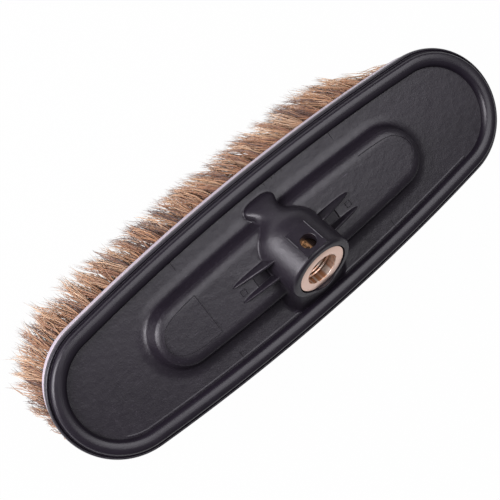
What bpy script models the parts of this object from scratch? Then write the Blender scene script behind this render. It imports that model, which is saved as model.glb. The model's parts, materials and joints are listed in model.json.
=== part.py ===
"""Flow-through wash brush head with a slanted threaded neck, a rubber bumper and hair tufts.

Metres, +Z up. X runs along the brush, the neck's mouth looks towards -Y and up, and the tips
of the tufts stand on z = 0 with the origin under the middle of the brush.
"""
import math
import random

import bmesh
import bpy
from mathutils import Matrix, Vector

# Overall plan, a four-arc oval
LENGTH = 0.300
WIDTH = 0.0884
END_FLATTENING = 0.0057
GAP = 0.0003
OVERRUN = 0.001

# Bristle board and its outlets
BRISTLE_TRIM = 0.055
BOARD_THICKNESS = 0.0095
BOARD_INSET = 0.0005
BOARD_EDGE = 0.0006
OUTLET_RADIUS = 0.0018
OUTLET_PITCH = 0.0240

# Tuft rows, each fused to a slice of backing that lies in a groove of the board
TUFT_PITCH = 0.0072
SLICE_WIDTH = 0.0046
SLICE_DEPTH = 0.0026
TUFT_ROOT = 0.0032
TUFT_TIP = 0.0044
TUFT_WANDER = 0.0007
OUTER_RING_INSET = 0.0050
RING_STEP_SHARE = 0.32567
INNER_ROW_MARGIN = 0.0170
ROW_TO_SCREW = 0.0017
SIDE_SPLAYS = (14.0, 9.0, 4.5)
END_SPLAYS = (4.0, 2.5, 1.0)

# Rubber bumper: shoulder, groove and bead, as shares of its width and of the bead's rise
BUMPER_WIDTH = 0.0107
BUMPER_SKIRT = 0.0050
BEAD_RISE = 0.0063
FLANGE_GRIP = 0.0047
BUMPER_LEG = 0.0092
BUMPER_TOP_SHARES = (
    (0.0, 0.0), (0.015, 0.18), (0.05, 0.33), (0.09, 0.38), (0.13, 0.35), (0.165, 0.27),
    (0.20, 0.25), (0.225, 0.33), (0.24, 0.50), (0.255, 0.66), (0.285, 0.80), (0.33, 0.90),
    (0.40, 0.965), (0.565, 1.0), (0.69, 0.98), (0.785, 0.94), (0.88, 0.855), (0.95, 0.70),
    (0.985, 0.52),
)
BUMPER_SIDE_SHARES = ((0.11, 1.0), (0.03, 0.76), (0.0, 0.36))

# Cover plate and its raised water chamber
FLOOR_RISE = 0.0022
FLOOR_THICKNESS = 0.0030
PLATFORM_MARGIN = 0.0535
FLOOR_BAND = 0.0073
PLATFORM_FLATTENING = 0.0020
PLATFORM_OFFSET = 0.0005
PLATFORM_HEIGHT = 0.0118
STEP_WIDTH_SHARE = 0.5038
STEP_SHARES = (
    (-0.03, -0.012), (0.076, 0.006), (0.212, 0.031), (0.341, 0.079), (0.432, 0.165),
    (0.606, 0.805), (0.64, 0.86), (0.70, 0.91), (0.81, 0.964), (0.91, 0.99), (1.0, 1.0),
)
CHAMBER_INSET_SHARE = 0.5153
CHAMBER_CEILING = 0.0026
CHAMBER_ROUND = 0.0030
GASKET_SET_OUT = 0.0035
GASKET_WIDTH = 0.0020
GASKET_HEIGHT = 0.0023

# Neck: a straight barrel that narrows to a waist and flares again to a rounded tail. The tail's
# stations are shares of its run, its drop and the barrel's radius, each ring's dip in degrees, and
# the height of its crest as a share of the barrel's radius
NECK_ANGLE = 40.0
NECK_RADIUS = 0.0192
MOUTH_Y = -0.0160
MOUTH_RISE = 0.0260
LIP_ROUND = 0.0018
BARREL_LENGTH = 0.0180
NECK_END_MARGIN = 0.0039
NECK_END_RISE = 0.0023
NECK_TAIL_SHARES = (
    (0.148, 0.31, 0.99, 35.0, 1.004), (0.296, 0.51, 0.925, 29.0, 0.938),
    (0.412, 0.60, 0.795, 24.0, 0.828), (0.505, 0.65, 0.645, 20.0, 0.711),
    (0.583, 0.69, 0.52, 17.0, 0.595), (0.645, 0.73, 0.445, 15.5, 0.501),
    (0.701, 0.775, 0.415, 16.0, 0.417), (0.758, 0.82, 0.425, 16.5, 0.34),
    (0.812, 0.862, 0.468, 16.0, 0.271), (0.864, 0.90, 0.50, 14.0, 0.211),
    (0.914, 0.955, 0.494, 11.0, 0.165), (0.959, 0.98, 0.43, 8.0, 0.103),
    (0.989, 1.0, 0.27, 5.0, 0.043), (1.0, 1.0, 0.10, 5.0, 0.026),
)
FOOT_RADIUS = 0.0214
FOOT_Y = -0.0186
FOOT_TOP_Y = -0.0100
FOOT_TOP_RADIUS = 0.0170
FOOT_HEIGHT = 0.0150

# Flat pad on the neck with the window that shows the insert
PAD_WIDTH = 0.0130
PAD_START = 0.0012
PAD_LENGTH = 0.0170
PAD_RISE = 0.0003
WINDOW_RADIUS = 0.0042
WINDOW_DEPTH_IN = 0.0080

# Webs beside the neck, with a shallow pocket between each pair
WEB_REACH = 0.0395
FRONT_WEB_HEIGHT = 0.0060
REAR_WEB_HEIGHT = 0.0098
WEB_THICKNESS = 0.0028
WEB_Y_FRONT = -0.0061
WEB_Y_REAR = 0.0033
WEB_PLAN_SHARES = ((0.0, 1.0), (0.5, 1.0), (0.78, 0.9), (0.9, 0.72), (0.97, 0.46), (1.0, 0.2))
WEB_SECTION_SHARES = ((-1.0, 0.0), (-0.92, 0.8), (-0.72, 1.0), (0.72, 1.0), (0.92, 0.8), (1.0, 0.0))
WEB_TOE = 0.0007
POCKET_END = 0.0288
POCKET_DEPTH = 0.0015

# Brass insert, seal and water way, measured along the neck from its mouth
INSERT_RADIUS = 0.0146
INSERT_LENGTH = 0.0200
INSERT_RECESS = 0.0004
BORE_RADIUS = 0.0093
BORE_CHAMFER = 0.0003
INSERT_EDGE = 0.0004
KEY_DEPTH = 0.0010
KEY_WIDTH = 0.0040
KEY_SLOPE = 0.0006
KEY_PLACE_SHARES = (0.78,)
SEAL_HEIGHT = 0.0025
SEAL_BORE_RADIUS = 0.0065
CHANNEL_RADIUS = 0.0062
CHANNEL_LENGTH = 0.0140

# Screws that clamp the board to the cover
SCREW_HEAD_RADIUS = 0.0034
SCREW_HEAD_HEIGHT = 0.0024
SCREW_SHANK_RADIUS = 0.0019
SCREW_LENGTH = 0.0120
SCREW_SINK = 0.0030
SCREW_SLOT = 0.0008
BOSS_RADIUS = 0.0048
BOSS_MARGIN = 0.0365
END_SCREW_TO_ROW = 0.0033

# How finely curves are divided
SIDE_PARTS = 6
END_PARTS = 16
PLATFORM_SIDE_PARTS = 6
PLATFORM_END_PARTS = 14
NECK_SIDES = 36
TURNED_SIDES = 36
SMALL_SIDES = 12

# Sizes that follow the plan
END_RADIUS = WIDTH / 2 - END_FLATTENING
INNER_ROW_OFFSET = SCREW_HEAD_RADIUS + ROW_TO_SCREW + SLICE_WIDTH / 2
RING_STEP = (END_RADIUS - OUTER_RING_INSET - INNER_ROW_OFFSET) * RING_STEP_SHARE
INNER_INSET = OUTER_RING_INSET + RING_STEP * (len(SIDE_SPLAYS) - 1)
INNER_ROW_LENGTH = LENGTH - 2 * (INNER_INSET + INNER_ROW_MARGIN)
PLATFORM_LENGTH = LENGTH - 2 * PLATFORM_MARGIN
PLATFORM_WIDTH = WIDTH - 2 * (BUMPER_WIDTH + FLOOR_BAND)
PLATFORM_END_RADIUS = PLATFORM_WIDTH / 2 - PLATFORM_FLATTENING
STEP_WIDTH = PLATFORM_WIDTH / 2 * STEP_WIDTH_SHARE
CHAMBER_INSET = PLATFORM_WIDTH / 2 * CHAMBER_INSET_SHARE
CHAMBER_REACH = PLATFORM_LENGTH / 2 - CHAMBER_INSET - CHAMBER_ROUND
OUTLET_COUNT = 2 * int(CHAMBER_REACH / OUTLET_PITCH) + 1
NECK_END_Y = WIDTH / 2 - BUMPER_WIDTH - NECK_END_MARGIN
BOSS_X = PLATFORM_LENGTH / 2 - BOSS_MARGIN
END_SCREW_X = LENGTH / 2 - INNER_INSET - SLICE_WIDTH / 2 - END_SCREW_TO_ROW - SCREW_HEAD_RADIUS

# Levels worked out from the sizes above
BOARD_TOP_Z = BRISTLE_TRIM + BOARD_THICKNESS
BASE_Z = BOARD_TOP_Z + GAP
SEAM_Z = BASE_Z + BUMPER_SKIRT
FLOOR_Z = SEAM_Z + FLOOR_RISE
FLANGE_Z = FLOOR_Z - FLOOR_THICKNESS
PLATFORM_Z = FLOOR_Z + PLATFORM_HEIGHT
CEILING_Z = PLATFORM_Z - CHAMBER_CEILING
ROOT_Z = FLANGE_Z
MOUTH = Vector((0, MOUTH_Y, FLOOR_Z + MOUTH_RISE))
SLICE_Z = BRISTLE_TRIM + SLICE_DEPTH
TAU = 2 * math.pi


def clear_scene():
    """Removes whatever the scene holds."""
    for item in list(bpy.data.objects):
        bpy.data.objects.remove(item, do_unlink=True)


def make_material(name, colour, roughness, metallic=0.0):
    """One Principled surface for a sub-part."""
    made = bpy.data.materials.new(name)
    made.use_nodes = True
    shader = made.node_tree.nodes["Principled BSDF"]
    shader.inputs["Base Color"].default_value = (*colour, 1.0)
    shader.inputs["Roughness"].default_value = roughness
    shader.inputs["Metallic"].default_value = metallic
    return made


def add_body(name, points, faces, material=None, sharp_degrees=35.0):
    """Makes a closed body from points and faces, with its faces turned outwards."""
    work = bmesh.new()
    corners = [work.verts.new(point) for point in points]
    for face in faces:
        work.faces.new([corners[index] for index in face])
    bmesh.ops.recalc_face_normals(work, faces=work.faces)
    mesh = bpy.data.meshes.new(name)
    work.to_mesh(mesh)
    work.free()
    mesh.shade_smooth()
    mesh.set_sharp_from_angle(angle=math.radians(sharp_degrees))
    body = bpy.data.objects.new(name, mesh)
    bpy.context.scene.collection.objects.link(body)
    if material is not None:
        mesh.materials.append(material)
    return body


def skin_faces(ring_count, ring_size, start, looped):
    """Quads between rings of equal size; open stacks get a cap at each end."""
    faces = []
    pairs = ring_count if looped else ring_count - 1
    for row in range(pairs):
        low = start + row * ring_size
        high = start + (row + 1) % ring_count * ring_size
        for step in range(ring_size):
            after = (step + 1) % ring_size
            faces.append((low + step, low + after, high + after, high + step))
    if not looped:
        last = start + (ring_count - 1) * ring_size
        faces.append(tuple(range(start, start + ring_size)))
        faces.append(tuple(range(last, last + ring_size)))
    return faces


def add_skin(name, rings, looped=False, material=None):
    """A closed body through a list of rings."""
    points = [point for ring in rings for point in ring]
    faces = skin_faces(len(rings), len(rings[0]), 0, looped)
    return add_body(name, points, faces, material)


def join_skins(name, stacks, looped=False, material=None):
    """Several separate bodies of the same making in one node."""
    points, faces = [], []
    for rings in stacks:
        faces += skin_faces(len(rings), len(rings[0]), len(points), looped)
        points += [point for ring in rings for point in ring]
    return add_body(name, points, faces, material)


def as_tool(body):
    """Marks a body as a cutter or a shape to be united, which is no piece of its own."""
    body.hide_render = True
    body.display_type = "WIRE"
    return body


def combine(body, tool, operation):
    """Adds a live Boolean with a tool body."""
    step = body.modifiers.new(tool.name, "BOOLEAN")
    step.operation = operation
    step.solver = "EXACT"
    step.object = as_tool(tool)
    return body


def oval_arcs(length, width, end_radius):
    """A four-arc oval's distance to its end arcs, its side arcs' radius, and their half angle."""
    reach = length / 2 - end_radius
    half = width / 2
    side_radius = (reach ** 2 + half ** 2 - end_radius ** 2) / (2 * (half - end_radius))
    return reach, side_radius, math.atan2(reach, side_radius - half)


def oval_stations(length, width, end_radius, side_parts, end_parts, offset=0.0):
    """Stations round a four-arc oval, as centre, direction and radius, anticlockwise from +X."""
    reach, side_radius, lean = oval_arcs(length, width, end_radius)
    quarter = math.pi / 2
    drop = side_radius - width / 2
    arcs = (
        ((reach, offset), end_radius, lean - quarter, quarter - lean, end_parts),
        ((0, offset - drop), side_radius, quarter - lean, quarter + lean, side_parts),
        ((-reach, offset), end_radius, quarter + lean, 3 * quarter - lean, end_parts),
        ((0, offset + drop), side_radius, 3 * quarter - lean, 3 * quarter + lean, side_parts),
    )
    stations = []
    for centre, radius, first, last, parts in arcs:
        for part in range(parts):
            angle = first + (last - first) * part / parts
            direction = Vector((math.cos(angle), math.sin(angle), 0))
            stations.append((Vector((*centre, 0)), direction, radius))
    return stations


def oval_ring(stations, inset, height):
    """The ring of an oval drawn in by an inset, at one height."""
    lift = Vector((0, 0, height))
    return [centre + direction * (radius - inset) + lift for centre, direction, radius in stations]


def plan_stations():
    """Stations of the whole brush's outline."""
    return oval_stations(LENGTH, WIDTH, END_RADIUS, SIDE_PARTS, END_PARTS)


def platform_stations():
    """Stations of the raised chamber's foot on the cover plate."""
    return oval_stations(
        PLATFORM_LENGTH, PLATFORM_WIDTH, PLATFORM_END_RADIUS,
        PLATFORM_SIDE_PARTS, PLATFORM_END_PARTS, PLATFORM_OFFSET,
    )


def turned_rings(profile, sides):
    """Rings round the Z axis through (radius, height) points."""
    rings = []
    for radius, height in profile:
        ring = []
        for side in range(sides):
            angle = TAU * side / sides
            ring.append(Vector((radius * math.cos(angle), radius * math.sin(angle), height)))
        rings.append(ring)
    return rings


def neck_axes():
    """The direction into the neck and the direction across it, both in the plane x = 0."""
    slant = math.radians(NECK_ANGLE)
    inward = Vector((0, math.cos(slant), -math.sin(slant)))
    across = Vector((0, math.sin(slant), math.cos(slant)))
    return inward, across


def place_on_neck(body):
    """Stands a body, made along +Z out of the mouth, on the neck's axis."""
    inward, across = neck_axes()
    frame = Matrix((Vector((1, 0, 0)), across, -inward)).transposed().to_4x4()
    frame.translation = MOUTH
    body.matrix_world = frame
    return body


def box_rings(low, high):
    """Two rectangular rings that make a box."""
    rings = []
    for z in (low[2], high[2]):
        rings.append([
            Vector((low[0], low[1], z)), Vector((high[0], low[1], z)),
            Vector((high[0], high[1], z)), Vector((low[0], high[1], z)),
        ])
    return rings


def build_bumper(material):
    """Rubber ring: outer shoulder, groove and bead on top, a slot that grips the plate inside."""
    stations = plan_stations()
    flange_inset = BUMPER_WIDTH - FLANGE_GRIP
    lip_z = FLOOR_Z + GAP
    slot_z = FLANGE_Z - GAP
    profile = [(BUMPER_WIDTH * across, SEAM_Z + BEAD_RISE * up) for across, up in BUMPER_TOP_SHARES]
    profile += [(BUMPER_WIDTH, lip_z), (flange_inset - GAP, lip_z), (flange_inset - GAP, slot_z)]
    profile += [(BUMPER_LEG, slot_z), (BUMPER_LEG, BASE_Z)]
    profile += [
        (BUMPER_WIDTH * across, SEAM_Z - BUMPER_SKIRT * down) for across, down in BUMPER_SIDE_SHARES
    ]
    rings = [oval_ring(stations, inset, height) for inset, height in profile]
    return add_skin("rubber_bumper", rings, True, material)


def neck_spine():
    """Centre, travel direction, radius and crest height of each ring, from mouth to tail."""
    inward, _ = neck_axes()
    rings = []
    for turn in (0.0, 30.0, 60.0, 90.0):
        angle = math.radians(turn)
        depth = LIP_ROUND * (1 - math.cos(angle))
        radius = NECK_RADIUS - LIP_ROUND * (1 - math.sin(angle))
        rings.append((MOUTH + inward * depth, inward, radius, radius))
    start = MOUTH + inward * BARREL_LENGTH
    rings.append((start, inward, NECK_RADIUS, NECK_RADIUS))
    run = NECK_END_Y - start.y
    drop = FLOOR_Z + NECK_END_RISE - start.z
    for run_share, drop_share, radius_share, dip, crest_share in NECK_TAIL_SHARES:
        lean = math.radians(dip)
        point = start + Vector((0, run * run_share, drop * drop_share))
        travel = Vector((0, math.cos(lean), -math.sin(lean)))
        rings.append((point, travel, NECK_RADIUS * radius_share, NECK_RADIUS * crest_share))
    return rings


def build_neck_shape():
    """The outside of the neck, flattened where it stands in the cover plate."""
    rings = []
    for centre, travel, radius, crest in neck_spine():
        across = Vector((0, -travel.z, travel.y))
        ring = []
        for side in range(NECK_SIDES):
            angle = TAU * side / NECK_SIDES
            height = crest if side < NECK_SIDES / 2 else radius
            point = centre + across * height * math.sin(angle)
            point.x = radius * math.cos(angle)
            point.z = max(point.z, ROOT_Z)
            ring.append(point)
        rings.append(ring)
    return add_skin("neck_shape", rings)


def build_foot_shape():
    """The foot that carries the mouth on the plate, stopped short of the bumper's bead."""
    front = -(WIDTH / 2 - BUMPER_WIDTH - GAP)
    rings = []
    levels = (
        (FOOT_RADIUS, FOOT_Y, ROOT_Z), (FOOT_RADIUS, FOOT_Y, FLOOR_Z),
        (FOOT_TOP_RADIUS, FOOT_TOP_Y, FLOOR_Z + FOOT_HEIGHT),
    )
    for radius, middle, height in levels:
        ring = []
        for side in range(NECK_SIDES):
            angle = TAU * (side + 0.5) / NECK_SIDES
            y = max(middle + radius * math.sin(angle), front)
            ring.append(Vector((radius * math.cos(angle), y, height)))
        rings.append(ring)
    return add_skin("foot_shape", rings)


def web_rings(side, middle, height):
    """One upright web: a leaf in plan, highest at the neck, with a narrow rounded crest."""
    root = NECK_RADIUS / 2
    low = PLATFORM_Z - GAP
    rings = []
    for run_share, width_share in WEB_PLAN_SHARES:
        x = side * (root + (WEB_REACH - root) * run_share)
        rise = WEB_TOE + height * min(1.0, (WEB_REACH - abs(x)) / (WEB_REACH - NECK_RADIUS))
        half = WEB_THICKNESS / 2 * width_share
        ring = []
        for across_share, up_share in WEB_SECTION_SHARES:
            ring.append(Vector((x, middle + half * across_share, low + rise * up_share)))
        rings.append(ring)
    return rings


def build_pad_shape():
    """The flat pad on top of the neck's barrel, as a block along the neck."""
    low = (-PAD_WIDTH / 2, INSERT_RADIUS, -PAD_START - PAD_LENGTH)
    high = (PAD_WIDTH / 2, NECK_RADIUS + PAD_RISE, -PAD_START)
    return place_on_neck(add_skin("pad_shape", box_rings(low, high)))


def insert_profile(clearance):
    """The insert's outer side from its front to its back, as (radius, height along the neck)."""
    front = -INSERT_RECESS
    points = []
    for share in KEY_PLACE_SHARES:
        middle = front - INSERT_LENGTH * share
        half = KEY_WIDTH / 2
        points += [
            (INSERT_RADIUS, middle + half - clearance),
            (INSERT_RADIUS - KEY_DEPTH, middle + half - KEY_SLOPE - clearance),
            (INSERT_RADIUS - KEY_DEPTH, middle - half + KEY_SLOPE + clearance),
            (INSERT_RADIUS, middle - half + clearance),
        ]
    return [(radius + clearance, height) for radius, height in points]


def build_insert(material):
    """Brass bush with a keying groove outside and a threaded bore, drawn at its minor diameter."""
    front = -INSERT_RECESS
    back = front - INSERT_LENGTH
    profile = [(BORE_RADIUS + BORE_CHAMFER, front), (INSERT_RADIUS - INSERT_EDGE, front)]
    profile += [(INSERT_RADIUS, front - INSERT_EDGE)]
    profile += insert_profile(0)
    profile += [(INSERT_RADIUS, back + INSERT_EDGE), (INSERT_RADIUS - INSERT_EDGE, back)]
    profile += [(BORE_RADIUS, back), (BORE_RADIUS, front - BORE_CHAMFER)]
    rings = turned_rings(profile, TURNED_SIDES)
    return place_on_neck(add_skin("threaded_insert", rings, True, material))


def build_insert_pocket():
    """Cutter for the insert's seat in the neck, keyed into its grooves, and the water way below."""
    back = -INSERT_RECESS - INSERT_LENGTH - GAP
    outer = INSERT_RADIUS + GAP
    profile = [(outer, OVERRUN)] + insert_profile(GAP) + [(outer, back), (CHANNEL_RADIUS, back)]
    profile += [(CHANNEL_RADIUS, back - CHANNEL_LENGTH)]
    return place_on_neck(add_skin("insert_pocket", turned_rings(profile, TURNED_SIDES)))


def build_seal(material):
    """Rubber washer at the bottom of the bore, which the handle's end presses on."""
    low = -INSERT_RECESS - INSERT_LENGTH
    high = low + SEAL_HEIGHT
    outer = BORE_RADIUS - GAP
    profile = [(SEAL_BORE_RADIUS, high), (outer, high), (outer, low), (SEAL_BORE_RADIUS, low)]
    return place_on_neck(add_skin("insert_seal", turned_rings(profile, TURNED_SIDES), True, material))


def build_window():
    """Cutter for the round window in the pad, from outside down to the insert."""
    inward, across = neck_axes()
    profile = [(WINDOW_RADIUS, INSERT_RADIUS - OVERRUN), (WINDOW_RADIUS, NECK_RADIUS + OVERRUN * 2)]
    body = add_skin("window_cut", turned_rings(profile, TURNED_SIDES // 2))
    frame = Matrix((Vector((1, 0, 0)), inward, across)).transposed().to_4x4()
    frame.translation = MOUTH + inward * WINDOW_DEPTH_IN
    body.matrix_world = frame
    return body


def pilot_places():
    """Where the screws stand: one at each end of the cover, two in bosses inside the chamber."""
    return (-END_SCREW_X, -BOSS_X, BOSS_X, END_SCREW_X)


def posts(name, places, profile, sides):
    """Upright turned bodies at places along the X axis."""
    stacks = []
    for place in places:
        shift = Vector((place, 0, 0))
        stacks.append([[point + shift for point in ring] for ring in turned_rings(profile, sides)])
    return join_skins(name, stacks)


def screw_levels():
    """Heights of a screw's head underside, head top face and point."""
    seat = BRISTLE_TRIM + SCREW_SINK
    return seat, seat - SCREW_HEAD_HEIGHT, seat + SCREW_LENGTH


def build_chamber():
    """Cutter for the water chamber under the platform, open towards the board."""
    stations = platform_stations()
    levels = (
        (CHAMBER_INSET, BASE_Z - OVERRUN), (CHAMBER_INSET, CEILING_Z - CHAMBER_ROUND),
        (CHAMBER_INSET + CHAMBER_ROUND / 3, CEILING_Z - CHAMBER_ROUND / 3),
        (CHAMBER_INSET + CHAMBER_ROUND, CEILING_Z),
    )
    rings = [oval_ring(stations, inset, height) for inset, height in levels]
    return add_skin("chamber_cut", rings)


def gasket_rings(clearance, low, high):
    """A square-section ring round the chamber."""
    stations = platform_stations()
    middle = CHAMBER_INSET - GASKET_SET_OUT
    half = GASKET_WIDTH / 2 + clearance
    profile = ((middle - half, low), (middle - half, high), (middle + half, high), (middle + half, low))
    return [oval_ring(stations, inset, height) for inset, height in profile]


def build_gasket(material):
    """Rubber cord that seals the chamber against the board."""
    rings = gasket_rings(0, BASE_Z, BASE_Z + GASKET_HEIGHT)
    return add_skin("chamber_gasket", rings, True, material)


def build_cover(material):
    """The moulded cover: plate, raised platform, neck, foot, webs and pad in one piece."""
    stations = plan_stations()
    flange_inset = BUMPER_WIDTH - FLANGE_GRIP
    skirt_inset = BUMPER_LEG + GAP
    levels = (
        (skirt_inset, BASE_Z), (skirt_inset, FLANGE_Z), (flange_inset, FLANGE_Z), (flange_inset, FLOOR_Z),
    )
    rings = [oval_ring(stations, inset, height) for inset, height in levels]
    cover = add_skin("top_cover", rings, False, material)
    foot = platform_stations()
    steps = [oval_ring(foot, STEP_WIDTH * STEP_SHARES[0][0], ROOT_Z)]
    steps += [
        oval_ring(foot, STEP_WIDTH * across, FLOOR_Z + PLATFORM_HEIGHT * up) for across, up in STEP_SHARES
    ]
    combine(cover, add_skin("platform_shape", steps), "UNION")
    combine(cover, build_foot_shape(), "UNION")
    combine(cover, build_neck_shape(), "UNION")
    combine(cover, build_pad_shape(), "UNION")
    webs = (("front_web", WEB_Y_FRONT, FRONT_WEB_HEIGHT), ("rear_web", WEB_Y_REAR, REAR_WEB_HEIGHT))
    for name, middle, height in webs:
        for side in (-1, 1):
            web = add_skin(f"{name}_{side}", web_rings(side, middle, height))
            combine(cover, web, "UNION")
    combine(cover, build_chamber(), "DIFFERENCE")
    groove_top = BASE_Z + GASKET_HEIGHT + GAP
    groove = add_skin("gasket_groove", gasket_rings(GAP, BASE_Z - OVERRUN, groove_top), True)
    combine(cover, groove, "DIFFERENCE")
    boss = [(BOSS_RADIUS, BASE_Z), (BOSS_RADIUS, CEILING_Z + CHAMBER_CEILING / 2)]
    combine(cover, posts("boss_shape", (-BOSS_X, BOSS_X), boss, SMALL_SIDES), "UNION")
    _, _, point_z = screw_levels()
    pilot_radius = SCREW_SHANK_RADIUS + GAP
    pilot = [(pilot_radius, BASE_Z - OVERRUN), (pilot_radius, point_z + GAP)]
    combine(cover, posts("pilot_cut", pilot_places(), pilot, SMALL_SIDES), "DIFFERENCE")
    combine(cover, build_insert_pocket(), "DIFFERENCE")
    combine(cover, build_window(), "DIFFERENCE")
    pocket_start = NECK_RADIUS + GAP * 2
    front = WEB_Y_FRONT + WEB_THICKNESS / 2
    rear = WEB_Y_REAR - WEB_THICKNESS / 2
    pockets = []
    for side in (-1, 1):
        ends = sorted((side * pocket_start, side * POCKET_END))
        low = (ends[0], front, PLATFORM_Z - POCKET_DEPTH)
        pockets.append(box_rings(low, (ends[1], rear, PLATFORM_Z + OVERRUN)))
    combine(cover, join_skins("pocket_cut", pockets), "DIFFERENCE")
    return cover


def row_arcs(inset):
    """Stations of one ring of tufts, divided at about the tuft pitch."""
    _, side_radius, lean = oval_arcs(LENGTH, WIDTH, END_RADIUS)
    side_parts = max(4, round(2 * lean * (side_radius - inset) / TUFT_PITCH))
    end_parts = max(4, round((math.pi - 2 * lean) * (END_RADIUS - inset) / TUFT_PITCH))
    return oval_stations(LENGTH, WIDTH, END_RADIUS, side_parts, end_parts)


def ring_edges(inset, half):
    """Inner and outer edge points of a ring of tufts, in plan."""
    stations = row_arcs(inset)
    return oval_ring(stations, inset + half, 0), oval_ring(stations, inset - half, 0)


def row_edges(side, half):
    """Inner and outer edge points of a straight inner row, in plan."""
    parts = max(4, round(INNER_ROW_LENGTH / TUFT_PITCH))
    inner, outer = [], []
    for part in range(parts + 1):
        place = part / parts * 2 - 1
        x = place * INNER_ROW_LENGTH / 2
        inner.append(Vector((x, side * (INNER_ROW_OFFSET - half), 0)))
        outer.append(Vector((x, side * (INNER_ROW_OFFSET + half), 0)))
    return inner, outer


def strand_square(middle, along, across, width):
    """Four corners of a strand's section, in the order of its cell's corners."""
    a, c = along * width / 2, across * width / 2
    return [middle - a - c, middle - a + c, middle + a + c, middle + a - c]


def build_tufts(name, inner, outer, looped, splay, wander, material):
    """A slice of backing with one tapered strand for each cell between two stations."""
    count = len(inner)
    points, faces = [], []
    for height in (BRISTLE_TRIM, SLICE_Z):
        lift = Vector((0, 0, height))
        points += [point + lift for point in inner] + [point + lift for point in outer]
    low_in, low_out, top_in, top_out = 0, count, 2 * count, 3 * count
    cells = count if looped else count - 1
    chance = random.Random(name)
    for cell in range(cells):
        near, far = cell, (cell + 1) % count
        faces.append((top_in + near, top_in + far, top_out + far, top_out + near))
        faces.append((low_in + near, low_in + far, top_in + far, top_in + near))
        faces.append((low_out + near, low_out + far, top_out + far, top_out + near))
        corners = [low_in + near, low_out + near, low_out + far, low_in + far]
        middle = (inner[near] + inner[far] + outer[near] + outer[far]) / 4
        along = (outer[far] - outer[near]).normalized()
        across = (outer[near] + outer[far] - inner[near] - inner[far]).normalized()
        root = middle + Vector((0, 0, BRISTLE_TRIM))
        lean_x = math.tan(math.radians(splay[0])) * across.x
        lean_y = math.tan(math.radians(splay[1])) * across.y
        tip = middle + Vector((lean_x, lean_y, 0)) * BRISTLE_TRIM
        tip += along * chance.uniform(-TUFT_WANDER, TUFT_WANDER)
        tip += across * chance.uniform(-TUFT_WANDER, TUFT_WANDER) * wander
        first = len(points)
        points += strand_square(root, along, across, TUFT_ROOT)
        points += strand_square(tip, along, across, TUFT_TIP)
        for side in range(4):
            after = (side + 1) % 4
            faces.append((corners[side], corners[after], first + after, first + side))
            faces.append((first + side, first + after, first + 4 + after, first + 4 + side))
        faces.append((first + 4, first + 5, first + 6, first + 7))
    if not looped:
        for end in (0, count - 1):
            faces.append((low_in + end, low_out + end, top_out + end, top_in + end))
    return add_body(name, points, faces, material, 30.0)


def ring_insets():
    """Insets of the three rings of tufts that follow the outline."""
    return [OUTER_RING_INSET + RING_STEP * step for step in range(len(SIDE_SPLAYS))]


def build_all_tufts(material):
    """Three rings that follow the outline and two straight rows inside them."""
    half = SLICE_WIDTH / 2
    names = ("tufts_outer_ring", "tufts_second_ring", "tufts_third_ring")
    for step, inset in enumerate(ring_insets()):
        inner, outer = ring_edges(inset, half)
        splay = (END_SPLAYS[step], SIDE_SPLAYS[step])
        build_tufts(names[step], inner, outer, True, splay, min(step, 1), material)
    for name, side in (("tufts_inner_row_front", -1), ("tufts_inner_row_rear", 1)):
        inner, outer = row_edges(side, half)
        build_tufts(name, inner, outer, False, (0.0, 1.0), 1, material)


def band_rings(inner, outer, low, high):
    """Rings of a band between two edges, for a groove."""
    rings = []
    for edge, height in ((inner, low), (outer, low), (outer, high), (inner, high)):
        lift = Vector((0, 0, height))
        rings.append([point + lift for point in edge])
    return rings


def build_board(material):
    """The block: an oval slab with a groove for each row, outlets for water and screw seats."""
    stations = plan_stations()
    levels = (
        (BOARD_INSET + BOARD_EDGE, BRISTLE_TRIM), (BOARD_INSET, BRISTLE_TRIM + BOARD_EDGE),
        (BOARD_INSET, BOARD_TOP_Z),
    )
    rings = [oval_ring(stations, inset, height) for inset, height in levels]
    board = add_skin("bristle_board", rings, False, material)
    half = SLICE_WIDTH / 2 + GAP
    low, high = BRISTLE_TRIM - OVERRUN, SLICE_Z + GAP
    for step, inset in enumerate(ring_insets()):
        inner, outer = ring_edges(inset, half)
        groove = add_skin(f"ring_groove_{step}", band_rings(inner, outer, low, high), True)
        combine(board, groove, "DIFFERENCE")
    for side in (-1, 1):
        edges = (INNER_ROW_OFFSET - half) * side, (INNER_ROW_OFFSET + half) * side
        reach = INNER_ROW_LENGTH / 2 + GAP
        corner_low, corner_high = (-reach, min(edges), low), (reach, max(edges), high)
        groove = add_skin(f"row_groove_{side}", box_rings(corner_low, corner_high))
        combine(board, groove, "DIFFERENCE")
    middle = (OUTLET_COUNT - 1) / 2
    outlets = [(place - middle) * OUTLET_PITCH for place in range(OUTLET_COUNT)]
    seat, _, _ = screw_levels()
    drill = [(OUTLET_RADIUS, BRISTLE_TRIM - OVERRUN), (OUTLET_RADIUS, BOARD_TOP_Z + OVERRUN)]
    combine(board, posts("outlet_cut", outlets, drill, SMALL_SIDES), "DIFFERENCE")
    shank = SCREW_SHANK_RADIUS + GAP
    head = SCREW_HEAD_RADIUS + GAP
    stepped = [
        (head, BRISTLE_TRIM - OVERRUN), (head, seat + GAP), (shank, seat + GAP),
        (shank, BOARD_TOP_Z + OVERRUN),
    ]
    combine(board, posts("screw_cut", pilot_places(), stepped, SMALL_SIDES), "DIFFERENCE")
    return board


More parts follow.
